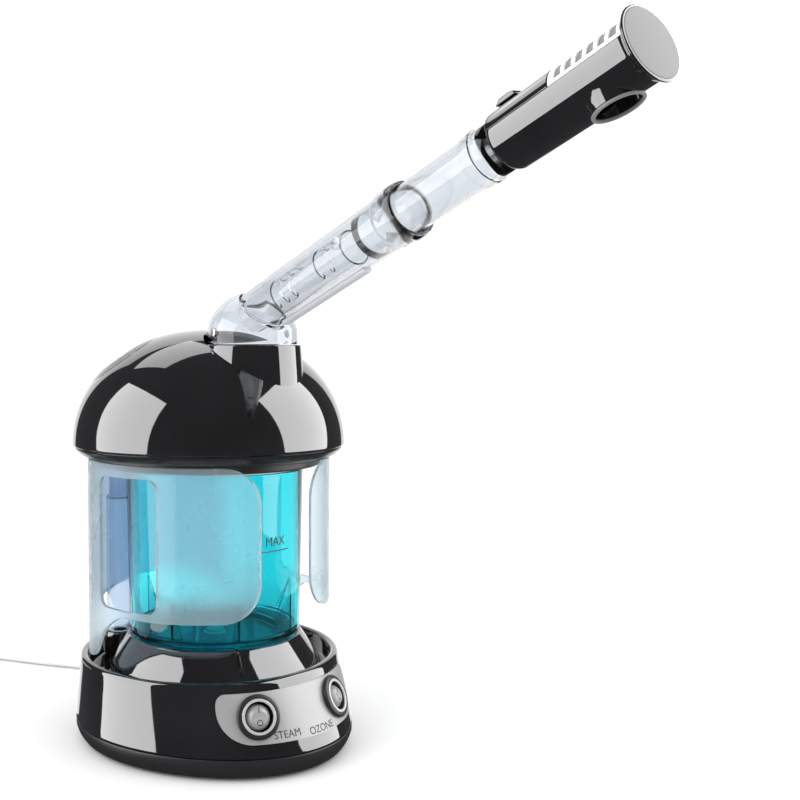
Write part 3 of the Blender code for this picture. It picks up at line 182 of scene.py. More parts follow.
class Paint:  # one material on Object coordinates
    def __init__(self, name, **fixed):
        self.material = bpy.data.materials.new(name)
        self.material.use_nodes = True
        self.tree = self.material.node_tree
        self.shader = self.tree.nodes["Principled BSDF"]
        self.put(**fixed)

    def node(self, kind, settings=None, inputs=None, output=0):
        made = self.tree.nodes.new(kind)
        for key, value in (settings or {}).items():
            if key == "stops":
                ramp = made.color_ramp
                while len(ramp.elements) < len(value):
                    ramp.elements.new(0.5)
                for element, (place, colour) in zip(ramp.elements, value):
                    element.position = place
                    element.color = (*colour, 1)
            else:
                setattr(made, key, value)
        for key, value in (inputs or {}).items():
            self.feed(made.inputs[key], value)
        return Wire(self, made.outputs[output])

    def feed(self, socket, value):
        if isinstance(value, Wire):
            self.tree.links.new(value.socket, socket)
        elif socket.type == "RGBA":
            socket.default_value = (*value, 1)
        else:
            socket.default_value = value

    def put(self, **values):
        for key, value in values.items():
            self.feed(self.shader.inputs[key.replace("_", " ")], value)
        return self

    def noise(self, scale, detail=3, stretch=(1, 1, 1)):
        spot = self.node("ShaderNodeTexCoord", output="Object")
        if stretch != (1, 1, 1):
            spot = self.node("ShaderNodeMapping", None, {"Vector": spot, "Scale": stretch})
        return self.node("ShaderNodeTexNoise", None, {"Vector": spot, "Scale": scale, "Detail": detail})

    def ramp(self, value, *stops):
        return self.node("ShaderNodeValToRGB", {"stops": stops}, {0: value})

    def along(self, axis):
        spot = self.node("ShaderNodeTexCoord", output="Object")
        return self.node("ShaderNodeSeparateXYZ", None, {0: spot}, "XYZ".index(axis))

    def step(self, value, low, high):
        return self.node("ShaderNodeMapRange", {"interpolation_type": "SMOOTHSTEP"},
                         {"Value": value, "From Min": low, "From Max": high})

    def mix(self, share, first, second):
        return self.node("ShaderNodeMix", {"data_type": "RGBA"}, {0: share, 6: first, 7: second}, 2)

    def bump(self, height, strength, depth):
        return self.put(Normal=self.node("ShaderNodeBump", None, {
            "Height": height, "Strength": strength, "Distance": depth}))


def glossBlack():
    paint = Paint("glossBlack", IOR=1.85, Coat_Weight=0.5, Coat_Roughness=0.02, Coat_IOR=1.7)
    haze = paint.noise(26, 5)
    paint.put(Base_Color=paint.ramp(haze, (0.3, (0.004, 0.004, 0.0045)), (0.75, (0.010, 0.010, 0.011))))
    paint.put(Roughness=haze * 0.035 + 0.03)
    return paint.bump(paint.noise(190, 2), 0.03, 0.0004)


def satinPaint(name, colour, rough, metal=0.0, grain=900, depth=0.00006):
    paint = Paint(name, Metallic=metal)
    cloud = paint.noise(45, 4)
    low = tuple(0.88 * c for c in colour)
    paint.put(Base_Color=paint.mix(cloud, low, tuple(min(1.0, 1.08 * c) for c in colour)))
    paint.put(Roughness=cloud * 0.12 + (rough - 0.06))
    return paint.bump(paint.noise(grain, 2), 0.5, depth)


def clearPaint(name, colour, rough=0.02, ior=1.49, streak=0.02):
    paint = Paint(name, Transmission_Weight=1.0, IOR=ior)
    cloud = paint.noise(30, 3)
    # painted shade: towards the grazing edges the colour darkens to 0.42 of itself
    edge = paint.node("ShaderNodeLayerWeight", None, {"Blend": 0.5}, 1)
    edge = paint.step(edge, 0.66, 1.0)
    body = paint.mix(cloud, colour, tuple(0.985 * c for c in colour))
    paint.put(Base_Color=paint.mix(edge, body, tuple(0.42 * c for c in colour)))
    paint.put(Roughness=cloud * streak + rough)
    return paint.bump(paint.noise(70, 2), 0.04, 0.0004)


def tealPaint():
    paint = clearPaint("tealClear", (0.12, 0.80, 0.86), 0.02, 1.45)
    # painted shade: the tank is darker near its bottom, fading out between heights 0.060 and 0.085
    lowShade = paint.step(paint.along("Z"), 0.060, 0.085)
    return paint.put(Base_Color=paint.mix(lowShade, (0.10, 0.66, 0.72), (0.13, 0.84, 0.89)))


def frostPaint():
    paint = Paint("frosted", Transmission_Weight=0.88, IOR=1.3)
    # painted shade: the sleeve is darker and bluer on its far side, past Y 0.043 to 0.049
    back = paint.step(paint.along("Y"), 0.043, 0.049)
    cloud = paint.noise(24, 3)
    front = paint.mix(cloud, (0.84, 0.94, 0.98), (0.80, 0.92, 0.97))
    paint.put(Base_Color=paint.mix(back, front, (0.42, 0.56, 0.72)))
    paint.put(Roughness=cloud * 0.08 + 0.24)
    return paint.bump(paint.noise(1400, 2), 0.10, 0.00004)


def lampPaint(name, colour, rough):
    paint = Paint(name, Coat_Weight=0.2, Coat_Roughness=0.15)
    cloud = paint.noise(60, 4)
    paint.put(Base_Color=paint.mix(cloud, colour, tuple(0.93 * c for c in colour)))
    paint.put(Roughness=cloud * 0.1 + rough)
    return paint.bump(paint.noise(500, 3), 0.15, 0.0001)


paints = {
    "black_gloss": glossBlack(),
    "black_satin": satinPaint("satinBlack", (0.018, 0.018, 0.02), 0.38),
    "grey_satin": satinPaint("greyLip", (0.014, 0.014, 0.015), 0.2),
    "silver_satin": satinPaint("silverPlate", (0.36, 0.36, 0.365), 0.45, 0.25, 1600),
    "grey_disc": satinPaint("greyDisc", (0.20, 0.20, 0.20), 0.5),
    "teal_clear": tealPaint(),
    "clear_plastic": clearPaint("clearPlastic", (0.97, 0.98, 0.985)),
    "frosted": frostPaint(),
    "steel": satinPaint("steel", (0.6, 0.6, 0.62), 0.25, 1.0),
    "aluminium": satinPaint("castAluminium", (0.72, 0.72, 0.74), 0.42, 1.0, 500, 0.0002),
    "brass": satinPaint("brass", (0.8, 0.6, 0.28), 0.28, 1.0),
    "rubber": satinPaint("rubber", (0.03, 0.03, 0.03), 0.8, 0.0, 700, 0.0002),
    "silicone": lampPaint("silicone", (0.78, 0.77, 0.75), 0.5),
    "white_plastic": lampPaint("whitePlastic", (0.86, 0.86, 0.85), 0.3),
    "circuit_board": satinPaint("laminate", (0.02, 0.2, 0.08), 0.45),
    "lamp_glass": clearPaint("lampGlass", (0.92, 0.95, 0.98)),
}
windowPaint = lampPaint("whiteWindow", (0.84, 0.85, 0.87), 0.3)
riserPaint = clearPaint("riserPlastic", (0.72, 0.80, 0.90), 0.12)
ink = {
    "dark": satinPaint("darkMark", (0.03, 0.03, 0.032), 0.45),
    "silver": satinPaint("silverBand", (0.62, 0.62, 0.63), 0.3, 0.4),
    # the rib is real; its grey colour is painted shade for the dark band along the tube's underside
    "rail": satinPaint("railPaintedShade", (0.55, 0.57, 0.60), 0.25),
    # painted shade: grey for the sheet under the grille's slots
    "grey": satinPaint("slotShadeGrey", (0.20, 0.20, 0.205), 0.45),
    "red": satinPaint("redMark", (0.10, 0.012, 0.012), 0.45),
}
nodeSlots = {part["node"]: part["material_slot"] for part in frame["record"]["subparts"]}
for nodeName, node in frame["nodes"].items():
    node.data.materials.clear()
    node.data.materials.append(paints[nodeSlots[nodeName]].material)
print("materials are in")


# ------ shapes
def gridFaces(rows, columns, wrapRows, wrapColumns):
    # four-sided faces between neighbours of a grid of points, joined round where it wraps
    i = np.arange(rows if wrapRows else rows - 1)[:, None]
    j = np.arange(columns if wrapColumns else columns - 1)[None, :]
    down, right = (i + 1) % rows, (j + 1) % columns
    corners = (i * columns + j, down * columns + j, down * columns + right, i * columns + right)
    return np.stack(np.broadcast_arrays(*corners), -1).reshape(-1, 4)


def smooth(obj, sharp=38):
    obj.data.shade_smooth()
    obj.data.set_sharp_from_angle(angle=math.radians(sharp))
    return obj


def makePiece(name, points, faces, sharp=38):
    mesh = bpy.data.meshes.new(name)
    mesh.from_pydata(np.asarray(points, float).reshape(-1, 3).tolist(), [], [list(f) for f in faces])
    work = bmesh.new()
    work.from_mesh(mesh)
    bmesh.ops.remove_doubles(work, verts=work.verts, dist=2e-6)
    bmesh.ops.recalc_face_normals(work, faces=work.faces)
    if any(len(edge.link_faces) == 1 for edge in work.edges):
        middle = sum((v.co for v in work.verts), Vector()) / len(work.verts)
        if sum(f.normal.dot(f.calc_center_median() - middle) * f.calc_area() for f in work.faces) < 0:
            bmesh.ops.reverse_faces(work, faces=work.faces)
    work.to_mesh(mesh)
    work.free()
    obj = bpy.data.objects.new(name, mesh)
    scene.collection.objects.link(obj)
    return smooth(obj, sharp)


def frameAt(origin, x, y, z):
    matrix = Matrix((x, y, z)).transposed().to_4x4()
    matrix.translation = origin
    return matrix


def moved(matrix, points):
    turn = np.array(matrix)
    return np.asarray(points, float) @ turn[:3, :3].T + turn[:3, 3]


def soften(profile, closed=False, steps=5):
    # each corner given a third number is replaced by a curve that leaves its two sides that far away
    flat = [np.array(p[:2], float) for p in profile]
    line = []
    for i, corner in enumerate(profile):
        inner = closed or 0 < i < len(profile) - 1
        if len(corner) < 3 or not inner:
            line.append(flat[i])
            continue
        before, after = flat[i - 1] - flat[i], flat[(i + 1) % len(flat)] - flat[i]
        lengths = [np.linalg.norm(before), np.linalg.norm(after)]
        reach = [min(corner[2], 0.48 * length) for length in lengths]
        a, c = flat[i] + before / lengths[0] * reach[0], flat[i] + after / lengths[1] * reach[1]
        t = np.linspace(0, 1, steps + 1)[:, None]
        line.extend(a * (1 - t) ** 2 + 2 * flat[i] * t * (1 - t) + c * t ** 2)
    return np.array(line)


def turned(name, profile, place=None, steps=128, closed=False, sharp=38):
    # a line of (radius, height) points carried round the local Z axis
    line = soften(profile, closed)
    angle = np.linspace(0, 2 * np.pi, steps, endpoint=False)[:, None]
    points = np.stack([line[:, 0] * np.cos(angle), line[:, 0] * np.sin(angle),
                       np.broadcast_to(line[:, 1], (steps, len(line)))], -1)
    faces = gridFaces(steps, len(line), True, closed)
    return makePiece(name, moved(place or Matrix(), points), faces, sharp)


def prism(name, outline, halfDepth, place):
    # a flat outline pushed both ways along the local Z axis, with a face at each end
    outline = np.asarray(outline, float)
    count = len(outline)
    ends = [np.column_stack([outline, np.full(count, z)]) for z in (-halfDepth, halfDepth)]
    sides = [(i, (i + 1) % count, count + (i + 1) % count, count + i) for i in range(count)]
    faces = [tuple(range(count))[::-1], tuple(range(count, 2 * count))] + sides
    return makePiece(name, moved(place, np.concatenate(ends)), faces)


def carve(obj, *cutters, sharp=38):
    # cutters are (object, operation) pairs and are used up
    for cutter, operation in cutters:
        change = obj.modifiers.new(operation, "BOOLEAN")
        change.operation, change.solver, change.object = operation, "EXACT", cutter
    graph = bpy.context.evaluated_depsgraph_get()
    made = bpy.data.meshes.new_from_object(obj.evaluated_get(graph))
    obj.modifiers.clear()
    obj.data = made
    for cutter, operation in cutters:
        bpy.data.objects.remove(cutter)
    return smooth(obj, sharp)


def thicken(obj, wall):
    skin = obj.modifiers.new("wall", "SOLIDIFY")
    skin.thickness, skin.offset = wall, -1
    return obj


def roundEdges(obj, width, segments=3, angle=40):
    edge = obj.modifiers.new("edge", "BEVEL")
    edge.width, edge.segments, edge.limit_method = width, segments, "ANGLE"
    edge.angle_limit = math.radians(angle)
    return obj


def ring(centre, normal, side, radius, count=64):
    # points of a circle, starting at side, which is square to the normal
    other = np.cross(normal, side)
    angle = np.linspace(0, 2 * np.pi, count, endpoint=False)[:, None]
    return np.asarray(centre) + radius * (np.cos(angle) * side + np.sin(angle) * other)


def loft(name, rings, wall=0.0):
    rings = np.array(rings)
    obj = makePiece(name, rings, gridFaces(len(rings), rings.shape[1], False, True))
    return thicken(obj, wall) if wall else obj


def smoothRoute(points, spans):
    # Catmull-Rom curve through the points, spans steps between neighbours
    p = np.array(points, float)
    p = np.vstack([2 * p[0] - p[1], p, 2 * p[-1] - p[-2]])
    a, b, c, d = p[:-3, None], p[1:-2, None], p[2:-1, None], p[3:, None]
    t = np.linspace(0, 1, spans, endpoint=False)[None, :, None]
    line = 0.5 * (2 * b + (c - a) * t + (2 * a - 5 * b + 4 * c - d) * t ** 2
                  + (3 * b - a - 3 * c + d) * t ** 3)
    return np.vstack([line.reshape(-1, 3), p[-2]])


def dress(piece, node, *others, paint=None):
    # the piece rides with the CAD node's body, stands for it and takes its finish
    if paint or not piece.data.materials:
        piece.data.materials.clear()
        piece.data.materials.append((paint or paints[nodeSlots[node]]).material)
    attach(piece, frame["nodes"][node]["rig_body"])
    if node not in replaced:
        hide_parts(node, *others)
        replaced.update((node, *others))
    return piece


replaced = set()


def smoothCopy(name, node, edge=0.0, paint=None):
    # the CAD solid's own shape, its triangles joined so that it can be shaded smooth
    source = frame["nodes"][node].data
    points = np.empty(len(source.vertices) * 3, np.float32)
    source.vertices.foreach_get("co", points)
    faces = [tuple(polygon.vertices) for polygon in source.polygons]
    piece = makePiece(name, points.reshape(-1, 3), faces, 32)
    if edge:
        roundEdges(piece, edge, 2)
    return dress(piece, node, paint=paint)


def at(x, y, z=0.0):
    return Matrix.Translation((x, y, z))


def towards(azimuth):
    a = math.radians(azimuth)
    return Vector((math.sin(a), -math.cos(a), 0))


# ------ mains cord
cord = {
    "diameter": 0.0046, "exitHeight": 0.018, "baseRadius": 0.0744,
    "route": [
        (0.0000, 0.1062, 0.0180), (0.0010, 0.1120, 0.0168), (0.0030, 0.1180, 0.0122),
        (0.0055, 0.1240, 0.0068), (0.0075, 0.1300, 0.0034), (0.0078, 0.1365, 0.0026),
        (0.0052, 0.1440, 0.0026), (0.0010, 0.1520, 0.0026), (-0.0038, 0.1600, 0.0026),
        (-0.0085, 0.1680, 0.0026), (-0.0128, 0.1760, 0.0026), (-0.0172, 0.1845, 0.0026),
        (-0.0215, 0.1930, 0.0026), (-0.0262, 0.2015, 0.0026), (-0.0315, 0.2090, 0.0026),
        (-0.0378, 0.2148, 0.0026), (-0.0448, 0.2184, 0.0026), (-0.0520, 0.2200, 0.0026),
        (-0.0592, 0.2198, 0.0026)],
    "coil": (-0.0786, 0.2502), "coilRadius": 0.0262, "plug": (-0.1346, 0.2642, 0.0084),
}


def coilLine():
    # whole turns, clockwise from above; in the last sixth of a turn the cord moves over or up by a diameter
    d = cord["diameter"] * 1.01
    columns = [1, 0, -1, -1, 0, 1, 1, 0, -1]
    layers = [0, 0, 0, 1, 1, 1, 2, 2, 2]
    start = math.radians(-100)
    turn = np.linspace(0, len(columns), len(columns) * 48 + 1)
    whole = np.minimum(turn.astype(int), len(columns) - 1)
    share = np.clip((turn - whole - 0.8) / 0.2, 0, 1)
    share = share * share * (3 - 2 * share)
    after = np.minimum(whole + 1, len(columns) - 1)
    column = np.array(columns)[whole] * (1 - share) + np.array(columns)[after] * share
    layer = np.array(layers)[whole] * (1 - share) + np.array(layers)[after] * share
    radius = cord["coilRadius"] + column * d
    angle = start - 2 * np.pi * turn
    x, y = cord["coil"]
    return np.column_stack([x + radius * np.cos(angle), y + radius * np.sin(angle),
                            0.0003 + d * (layer + 0.5)])


def cordLine():
    lead = smoothRoute(cord["route"], 8)
    coil = coilLine()
    join = smoothRoute([lead[-9], lead[-1], (-0.0672, 0.2194, 0.0026), (-0.0745, 0.2194, 0.0026),
                        coil[0], coil[6]], 8)[8:-8]
    x, y, z = cord["plug"]
    tail = smoothRoute([coil[-7], coil[-1], (-0.0905, 0.2272, 0.0166), (-0.1000, 0.2256, 0.0168),
                        (-0.1100, 0.2264, 0.0150), (-0.1200, 0.2300, 0.0118), (-0.1290, 0.2362, 0.0094),
                        (x, y - 0.0170, z), (x + 0.0002, y - 0.0120, z)], 8)[8:-8]
    return np.vstack([lead[:-1], join[:-1], coil[:-1], tail])


def tubeAlong(name, line, radius, count=16):
    # a circle carried along the line without twisting, closed at both ends
    along = np.gradient(line, axis=0)
    along /= np.linalg.norm(along, axis=1)[:, None]
    side = np.cross(along, (0, 0, 1.0))
    side /= np.linalg.norm(side, axis=1)[:, None]
    over = np.cross(side, along)
    angle = np.linspace(0, 2 * np.pi, count, endpoint=False)[None, :, None]
    points = line[:, None] + radius * (np.cos(angle) * side[:, None] + np.sin(angle) * over[:, None])
    faces = gridFaces(len(line), count, False, True).tolist()
    faces += [list(range(count)), list(range((len(line) - 1) * count, len(line) * count))]
    return makePiece(name, points, faces)


def makeCord():
    line = cordLine()
    flex = dress(tubeAlong("mainsCord", line, cord["diameter"] / 2), "power_cord", "cord_coil")
    x, y, z = cord["plug"]
    outline = [(-0.0080, -0.0170), (0.0080, -0.0170), (0.0110, -0.0050), (0.0110, 0.0150),
               (0.0085, 0.0170), (-0.0085, 0.0170), (-0.0110, 0.0150), (-0.0110, -0.0050)]
    plug = dress(roundEdges(prism("plugBody", outline, 0.0080, at(x, y, z)), 0.0028, 4), "plug_body")
    pins = [smoothCopy(f"plugPin{i}", f"plug_pin_{i}", 0.0004) for i in (1, 2)]
    gland = frameAt(Vector((0, cord["baseRadius"], cord["exitHeight"])), Vector((1, 0, 0)),
                    Vector((0, 0, -1)), Vector((0, 1, 0)))
    ribs = [(0.0060, 0.0010), (0.0060, 0.0034, 0.0006)]
    for i in range(6):
        height = 0.0046 + 0.0040 * i
        reach = 0.0046 - 0.00030 * i
        ribs += [(reach, height - 0.0008), (reach, height + 0.0014, 0.0004),
                 (reach - 0.0010, height + 0.0018),
                 (reach - 0.0010, height + 0.0030)]
    profile = [(0, 0.0310), (0.0027, 0.0310, 0.0004)] + ribs[::-1]
    profile += [(0.0040, 0.0010), (0.0040, -0.0055), (0, -0.0055)]
    dress(turned("strainRelief", profile, gland, 48), "strain_relief")


makeCord()

# ------ base
base = {
    "rim": 0.0470, "seam": 0.0120, "recess": 0.0365, "radius": 0.0744, "rimRadius": 0.0713,
    "rimInner": 0.0666, "bulge": 0.0136, "spread": 42.0, "wall": 0.0022, "deck": 0.0460,
    "switchHeight": 0.0308, "steam": -20.3, "ozone": 17.5, "hole": 0.0101,
    "plateTop": 0.0422, "plateBottom": 0.0187, "plateAngle": 36.0, "plateThick": 0.0008,
}


def sideShare(height):
    return np.clip((base["rim"] - height) / (base["rim"] - base["seam"]), 0, 1)


def sideRadius(azimuth, height):
    # the front swells as a bell curve of the azimuth, more towards the seam
    share = sideShare(height)
    reach = base["rimRadius"] + (base["radius"] - base["rimRadius"]) * share
    return reach + share * base["bulge"] * np.exp(-(azimuth / base["spread"]) ** 2)


def bulged(name, profile, steps=192, closed=True, sharp=38):
    # the profile is (radius, height) with the share of the front bulge worked out from the height
    line = soften(profile, closed)
    azimuth = np.linspace(-180, 180, steps, endpoint=False)[:, None]
    inner = line[:, 0] < base["rimInner"] + 0.0015
    share = np.where(inner & (line[:, 1] > 0.0340), 0, sideShare(line[:, 1]))
    share = np.where(line[:, 0] < 0.02, 0, share)
    reach = line[:, 0] + share * base["bulge"] * np.exp(-(azimuth / base["spread"]) ** 2)
    a = np.radians(azimuth)
    points = np.stack([reach * np.sin(a), -reach * np.cos(a), np.broadcast_to(line[:, 1], reach.shape)], -1)
    return makePiece(name, points, gridFaces(steps, len(line), True, closed), sharp)


def skinFrame(azimuth, height, lift=0.0):
    # on the sloped side: X along it, Y up it, Z out of it
    def spot(a, h):
        return towards(a) * float(sideRadius(a, h)) + Vector((0, 0, h))
    here = spot(azimuth, height)
    up = (spot(azimuth, height + 0.001) - here).normalized()
    across = (spot(azimuth + 1, height) - here).normalized()
    out = across.cross(up).normalized()
    return frameAt(here + out * lift, up.cross(out).normalized(), up, out)


def switchBars():
    # round cutters for the two switches' holes
    bar = [(0, 0.012), (base["hole"], 0.012), (base["hole"], -0.012), (0, -0.012)]
    return [(turned(key + "Bar", bar, skinFrame(base[key], base["switchHeight"]), 96), "DIFFERENCE")
            for key in ("steam", "ozone")]


def makeBase():
    b = base
    side = [(b["rimRadius"] + (b["radius"] - b["rimRadius"]) * float(sideShare(h)), h)
            for h in (0.0400, 0.0340, 0.0280, 0.0220, 0.0160)]
    top = b["rim"]
    profile = [
        (b["deck"], b["recess"]), (b["rimInner"], b["recess"], 0.0014),
        (b["rimInner"] + 0.0010, top, 0.0020),
        (b["rimRadius"] + 0.0002, top, 0.0026), *side, (b["radius"] + 0.0001, b["seam"] + 0.0001, 0.0010),
        (b["radius"] - b["wall"], b["seam"] + 0.0001), (b["radius"] - b["wall"], 0.0290),
        (b["radius"] - b["wall"] - 0.0024, b["recess"] - b["wall"]), (b["deck"], b["recess"] - b["wall"])]
    shell = bulged("baseShell", profile)
    dress(carve(shell, *switchBars()), "base_shell")
    low = [
        (0, 0.0032), (b["radius"] - 0.0044, 0.0032, 0.001), (b["radius"] - 0.0024, 0.0117),
        (b["radius"] - 0.0001, 0.0117, 0.0006), (b["radius"] - 0.0002, 0.0085),
        (b["radius"] - 0.0014, 0.0050, 0.002),
        (b["radius"] - 0.0044, 0.0010, 0.002), (0, 0.0010)]
    dress(bulged("bottomPlate", low, 192, False), "bottom_plate")


makeBase()


def plateHalfAngle(height):
    share = (height - base["plateBottom"]) / (base["plateTop"] - base["plateBottom"])
    lower = np.sqrt(np.maximum(0, 1 - (1 - np.minimum(share / 0.75, 1)) ** 2))
    upper = np.sqrt(np.maximum(0, 1 - (np.maximum(share - 0.80, 0) / 0.20) ** 2))
    return base["plateAngle"] * (0.62 + 0.38 * lower) * (0.90 + 0.10 * upper)


def skinPoint(azimuth, height, lift):
    # the side wall's place, pushed straight out by lift
    a = np.radians(azimuth)
    reach = sideRadius(azimuth, height) + lift
    return np.stack([reach * np.sin(a), -reach * np.cos(a), height + 0.18 * lift + 0 * a], -1)


def makePlate():
    tall = base["plateTop"] - base["plateBottom"]
    rows = base["plateBottom"] + tall * (1 - np.cos(np.linspace(0, np.pi, 30))) / 2
    across = np.sin(np.linspace(-np.pi / 2, np.pi / 2, 121))
    azimuth = plateHalfAngle(rows)[:, None] * across[None, :]
    height = np.broadcast_to(rows[:, None], azimuth.shape)
    points = skinPoint(azimuth, height, 0.0003 + base["plateThick"])
    plate = thicken(makePiece("controlPlate", points, gridFaces(30, 121, False, False)), base["plateThick"])
    dress(roundEdges(carve(plate, *switchBars()), 0.00025, 2), "control_plate")
    dress(skinText("steamWord", "STEAM", -10.4, 0.0219, 0.0048, 1.04), "control_plate", paint=ink["dark"])
    dress(skinText("ozoneWord", "OZONE", 4.6, 0.0208, 0.0048, 1.05), "control_plate", paint=ink["dark"])


def textMesh(name, words, size, wide=1.0):
    # flat letters centred on the origin, as a mesh fine enough to bend
    letters = bpy.data.curves.new(name, "FONT")
    letters.body, letters.size = words, size
    letters.align_x, letters.align_y = "CENTER", "CENTER"
    holder = bpy.data.objects.new(name + "Flat", letters)
    scene.collection.objects.link(holder)
    graph = bpy.context.evaluated_depsgraph_get()
    mesh = bpy.data.meshes.new_from_object(holder.evaluated_get(graph))
    bpy.data.objects.remove(holder)
    flat = np.array([v.co[:2] for v in mesh.vertices]) * (wide, 1.0)
    return flat, [tuple(p.vertices) for p in mesh.polygons]


def skinText(name, words, azimuth, height, size, wide):
    flat, faces = textMesh(name, words, size, wide)
    tall = height + flat[:, 1]
    turn = azimuth + np.degrees(flat[:, 0] / sideRadius(azimuth, height))
    points = skinPoint(turn, tall, 0.0003 + base["plateThick"] + 0.00006)
    return thicken(makePiece(name, points, faces), 0.00004)


makePlate()
switch = {"pocket": 0.0073, "bezel": 0.0111, "rocker": 0.0068, "marks": {"I": 0.0031, "O": -0.0031}}


def makeSwitch(key):
    s = switch
    seat = 0.0003 + base["plateThick"] + 0.0003
    face = seat + 0.0020
    frameOut = skinFrame(base[key], base["switchHeight"])
    profile = [
        (0, -0.0085), (s["pocket"], -0.0085), (s["pocket"], face - 0.0002, 0.0007),
        (0.0092, face + 0.0001, 0.0008),
        (s["bezel"], face - 0.0004, 0.0012), (s["bezel"], seat), (base["hole"] - 0.0003, seat),
        (base["hole"] - 0.0003, -0.0105), (0, -0.0105)]
    dress(turned(key + "Housing", profile, frameOut, 96), key + "_switch_housing")
    band = [(s["pocket"] + 0.0001, face + 0.0003, 0.0002), (0.0088, face + 0.0003, 0.0003),
            (0.0088, face - 0.0006),
            (s["pocket"] + 0.0001, face - 0.0006)]
    dress(turned(key + "Band", band, frameOut, 96, True), key + "_switch_housing", paint=ink["silver"])
    pivot = frameOut @ at(0, 0, face - 0.0052)
    angle = np.linspace(0, np.pi, 49)
    ball = np.column_stack([s["rocker"] * np.sin(angle), s["rocker"] * np.cos(angle)])
    rocker = turned(key + "Rocker", ball.tolist(), pivot, 96)
    block = [(-0.009, -0.0045), (0.009, -0.0045), (0.009, 0.0072), (0.0, 0.0056), (-0.009, 0.0056)]
    turn = Matrix(((0, 0, 1, 0), (1, 0, 0, 0), (0, 1, 0, 0), (0, 0, 0, 1)))
    rocker = carve(rocker, (prism(key + "Block", block, 0.01, pivot @ turn), "INTERSECT"), sharp=30)
    dress(roundEdges(rocker, 0.0003, 3, 25), key + "_rocker")
    for mark, up in s["marks"].items():
        slope = 0.178 if up > 0 else 0.0
        level = 0.0056 + max(0.0, up) * slope + 0.00005
        flat, faces = textMesh(key + mark, mark, 0.0042)
        local = np.column_stack([flat[:, 0], flat[:, 1] + up, level + flat[:, 1] * slope])
        letter = thicken(makePiece(key + "Mark" + mark, moved(pivot, local), faces), 0.00004)
        dress(letter, key + "_rocker", paint=ink["dark"])


for switchName in ("steam", "ozone"):
    makeSwitch(switchName)
print("base is in")

# ------ tank, seat and sleeve
tank = {
    "offset": 0.0048, "bottom": 0.0583, "height": 0.0905, "low": 0.0471, "high": 0.0489, "wall": 0.0021,
    "valve": 0.0073, "seatFoot": 0.0582, "skirt": 0.0428, "seatTop": 0.0476, "seat": 0.0580,
    "depth": 0.0060,
    "riserAzimuth": -151.0, "riserReach": 0.0566, "riser": 0.0072, "socket": 0.0086, "riserTop": 0.1300,
}
riserSpot = towards(tank["riserAzimuth"]) * tank["riserReach"]


def makeSeat():
    t = tank
    place = at(0, -t["offset"])
    wall = 0.0022
    profile = [
        (0.0100, t["seat"] - t["depth"]), (0.0388, t["seat"] - t["depth"]), (0.0394, t["seat"], 0.0004),
        (t["seatTop"], t["seat"], 0.0010), (t["seatFoot"], t["skirt"], 0.0012),
        (t["seatFoot"], base["recess"] + 0.0003), (t["seatFoot"] - wall, base["recess"] + 0.0003),
        (t["seatFoot"] - wall, t["skirt"] - 0.0014), (t["seatTop"] - wall, t["seat"] - 0.0036),
        (0.0392, t["seat"] - t["depth"] - wall), (0.0100, t["seat"] - t["depth"] - wall)]
    seat = turned("tankSeat", profile, place, 192, True)
    notch = [(0, 0.064), (t["socket"] + 0.0003, 0.064), (t["socket"] + 0.0003, 0.030), (0, 0.030)]
    dress(carve(seat, (turned("notch", notch, at(*riserSpot), 64), "DIFFERENCE")), "tank_seat")


def makeTank():
    t = tank
    low, top = t["bottom"], t["bottom"] + t["height"]
    inner = t["low"] - t["wall"]
    profile = [
        (t["high"] - t["wall"], top, 0.0008), (t["high"], top, 0.0008), (t["low"], low + 0.0002, 0.0024),
        (0.0382, low, 0.0006), (0.0372, low - 0.0040, 0.0006), (t["valve"], low - 0.0040),
        (t["valve"], low - 0.0020),
        (0.0345, low - 0.0020, 0.0010), (0.0355, low + 0.0020, 0.0010), (inner, low + 0.0020, 0.0030)]
    shell = turned("waterTank", profile, at(0, -t["offset"]), 160, True)
    fins = []
    for i in range(8):
        out = towards(45.0 * i + 22.5)
        across = Vector((0, 0, 1)).cross(out)
        outline = [(0.0358, low - 0.0005), (0.0400, low + 0.0010), (inner + 0.0008, low + 0.0010),
                   (inner + 0.0012, low + 0.0240), (inner - 0.0002, low + 0.0230), (0.0350, low + 0.0005)]
        fins.append((prism(f"fin{i}", outline, 0.0007, frameAt(Vector((0, -t["offset"], 0)), out,
                                                              Vector((0, 0, 1)), -across)), "UNION"))
    dress(carve(shell, *fins), "water_tank")
    flat, faces = textMesh("maxWord", "MAX", 0.0068, 0.95)
    fine = np.linspace(-0.0115, 0.0105, 25)
    bars = np.concatenate([np.column_stack([fine, np.full(25, z)]) for z in (-0.0052, -0.0047)])
    marks = (("maxMark", flat, faces), ("maxLine", bars, gridFaces(2, 25, False, False)))
    for name, spots, panels in marks:
        height = 0.1128 + spots[:, 1]
        reach = t["low"] + (t["high"] - t["low"]) * (height - low) / t["height"] + 0.00012
        angle = math.radians(3.0) + spots[:, 0] / reach
        points = np.column_stack([reach * np.sin(angle), -t["offset"] - reach * np.cos(angle), height])
        dress(thicken(makePiece(name, points, panels), 0.00006), "water_tank", paint=ink["red"])


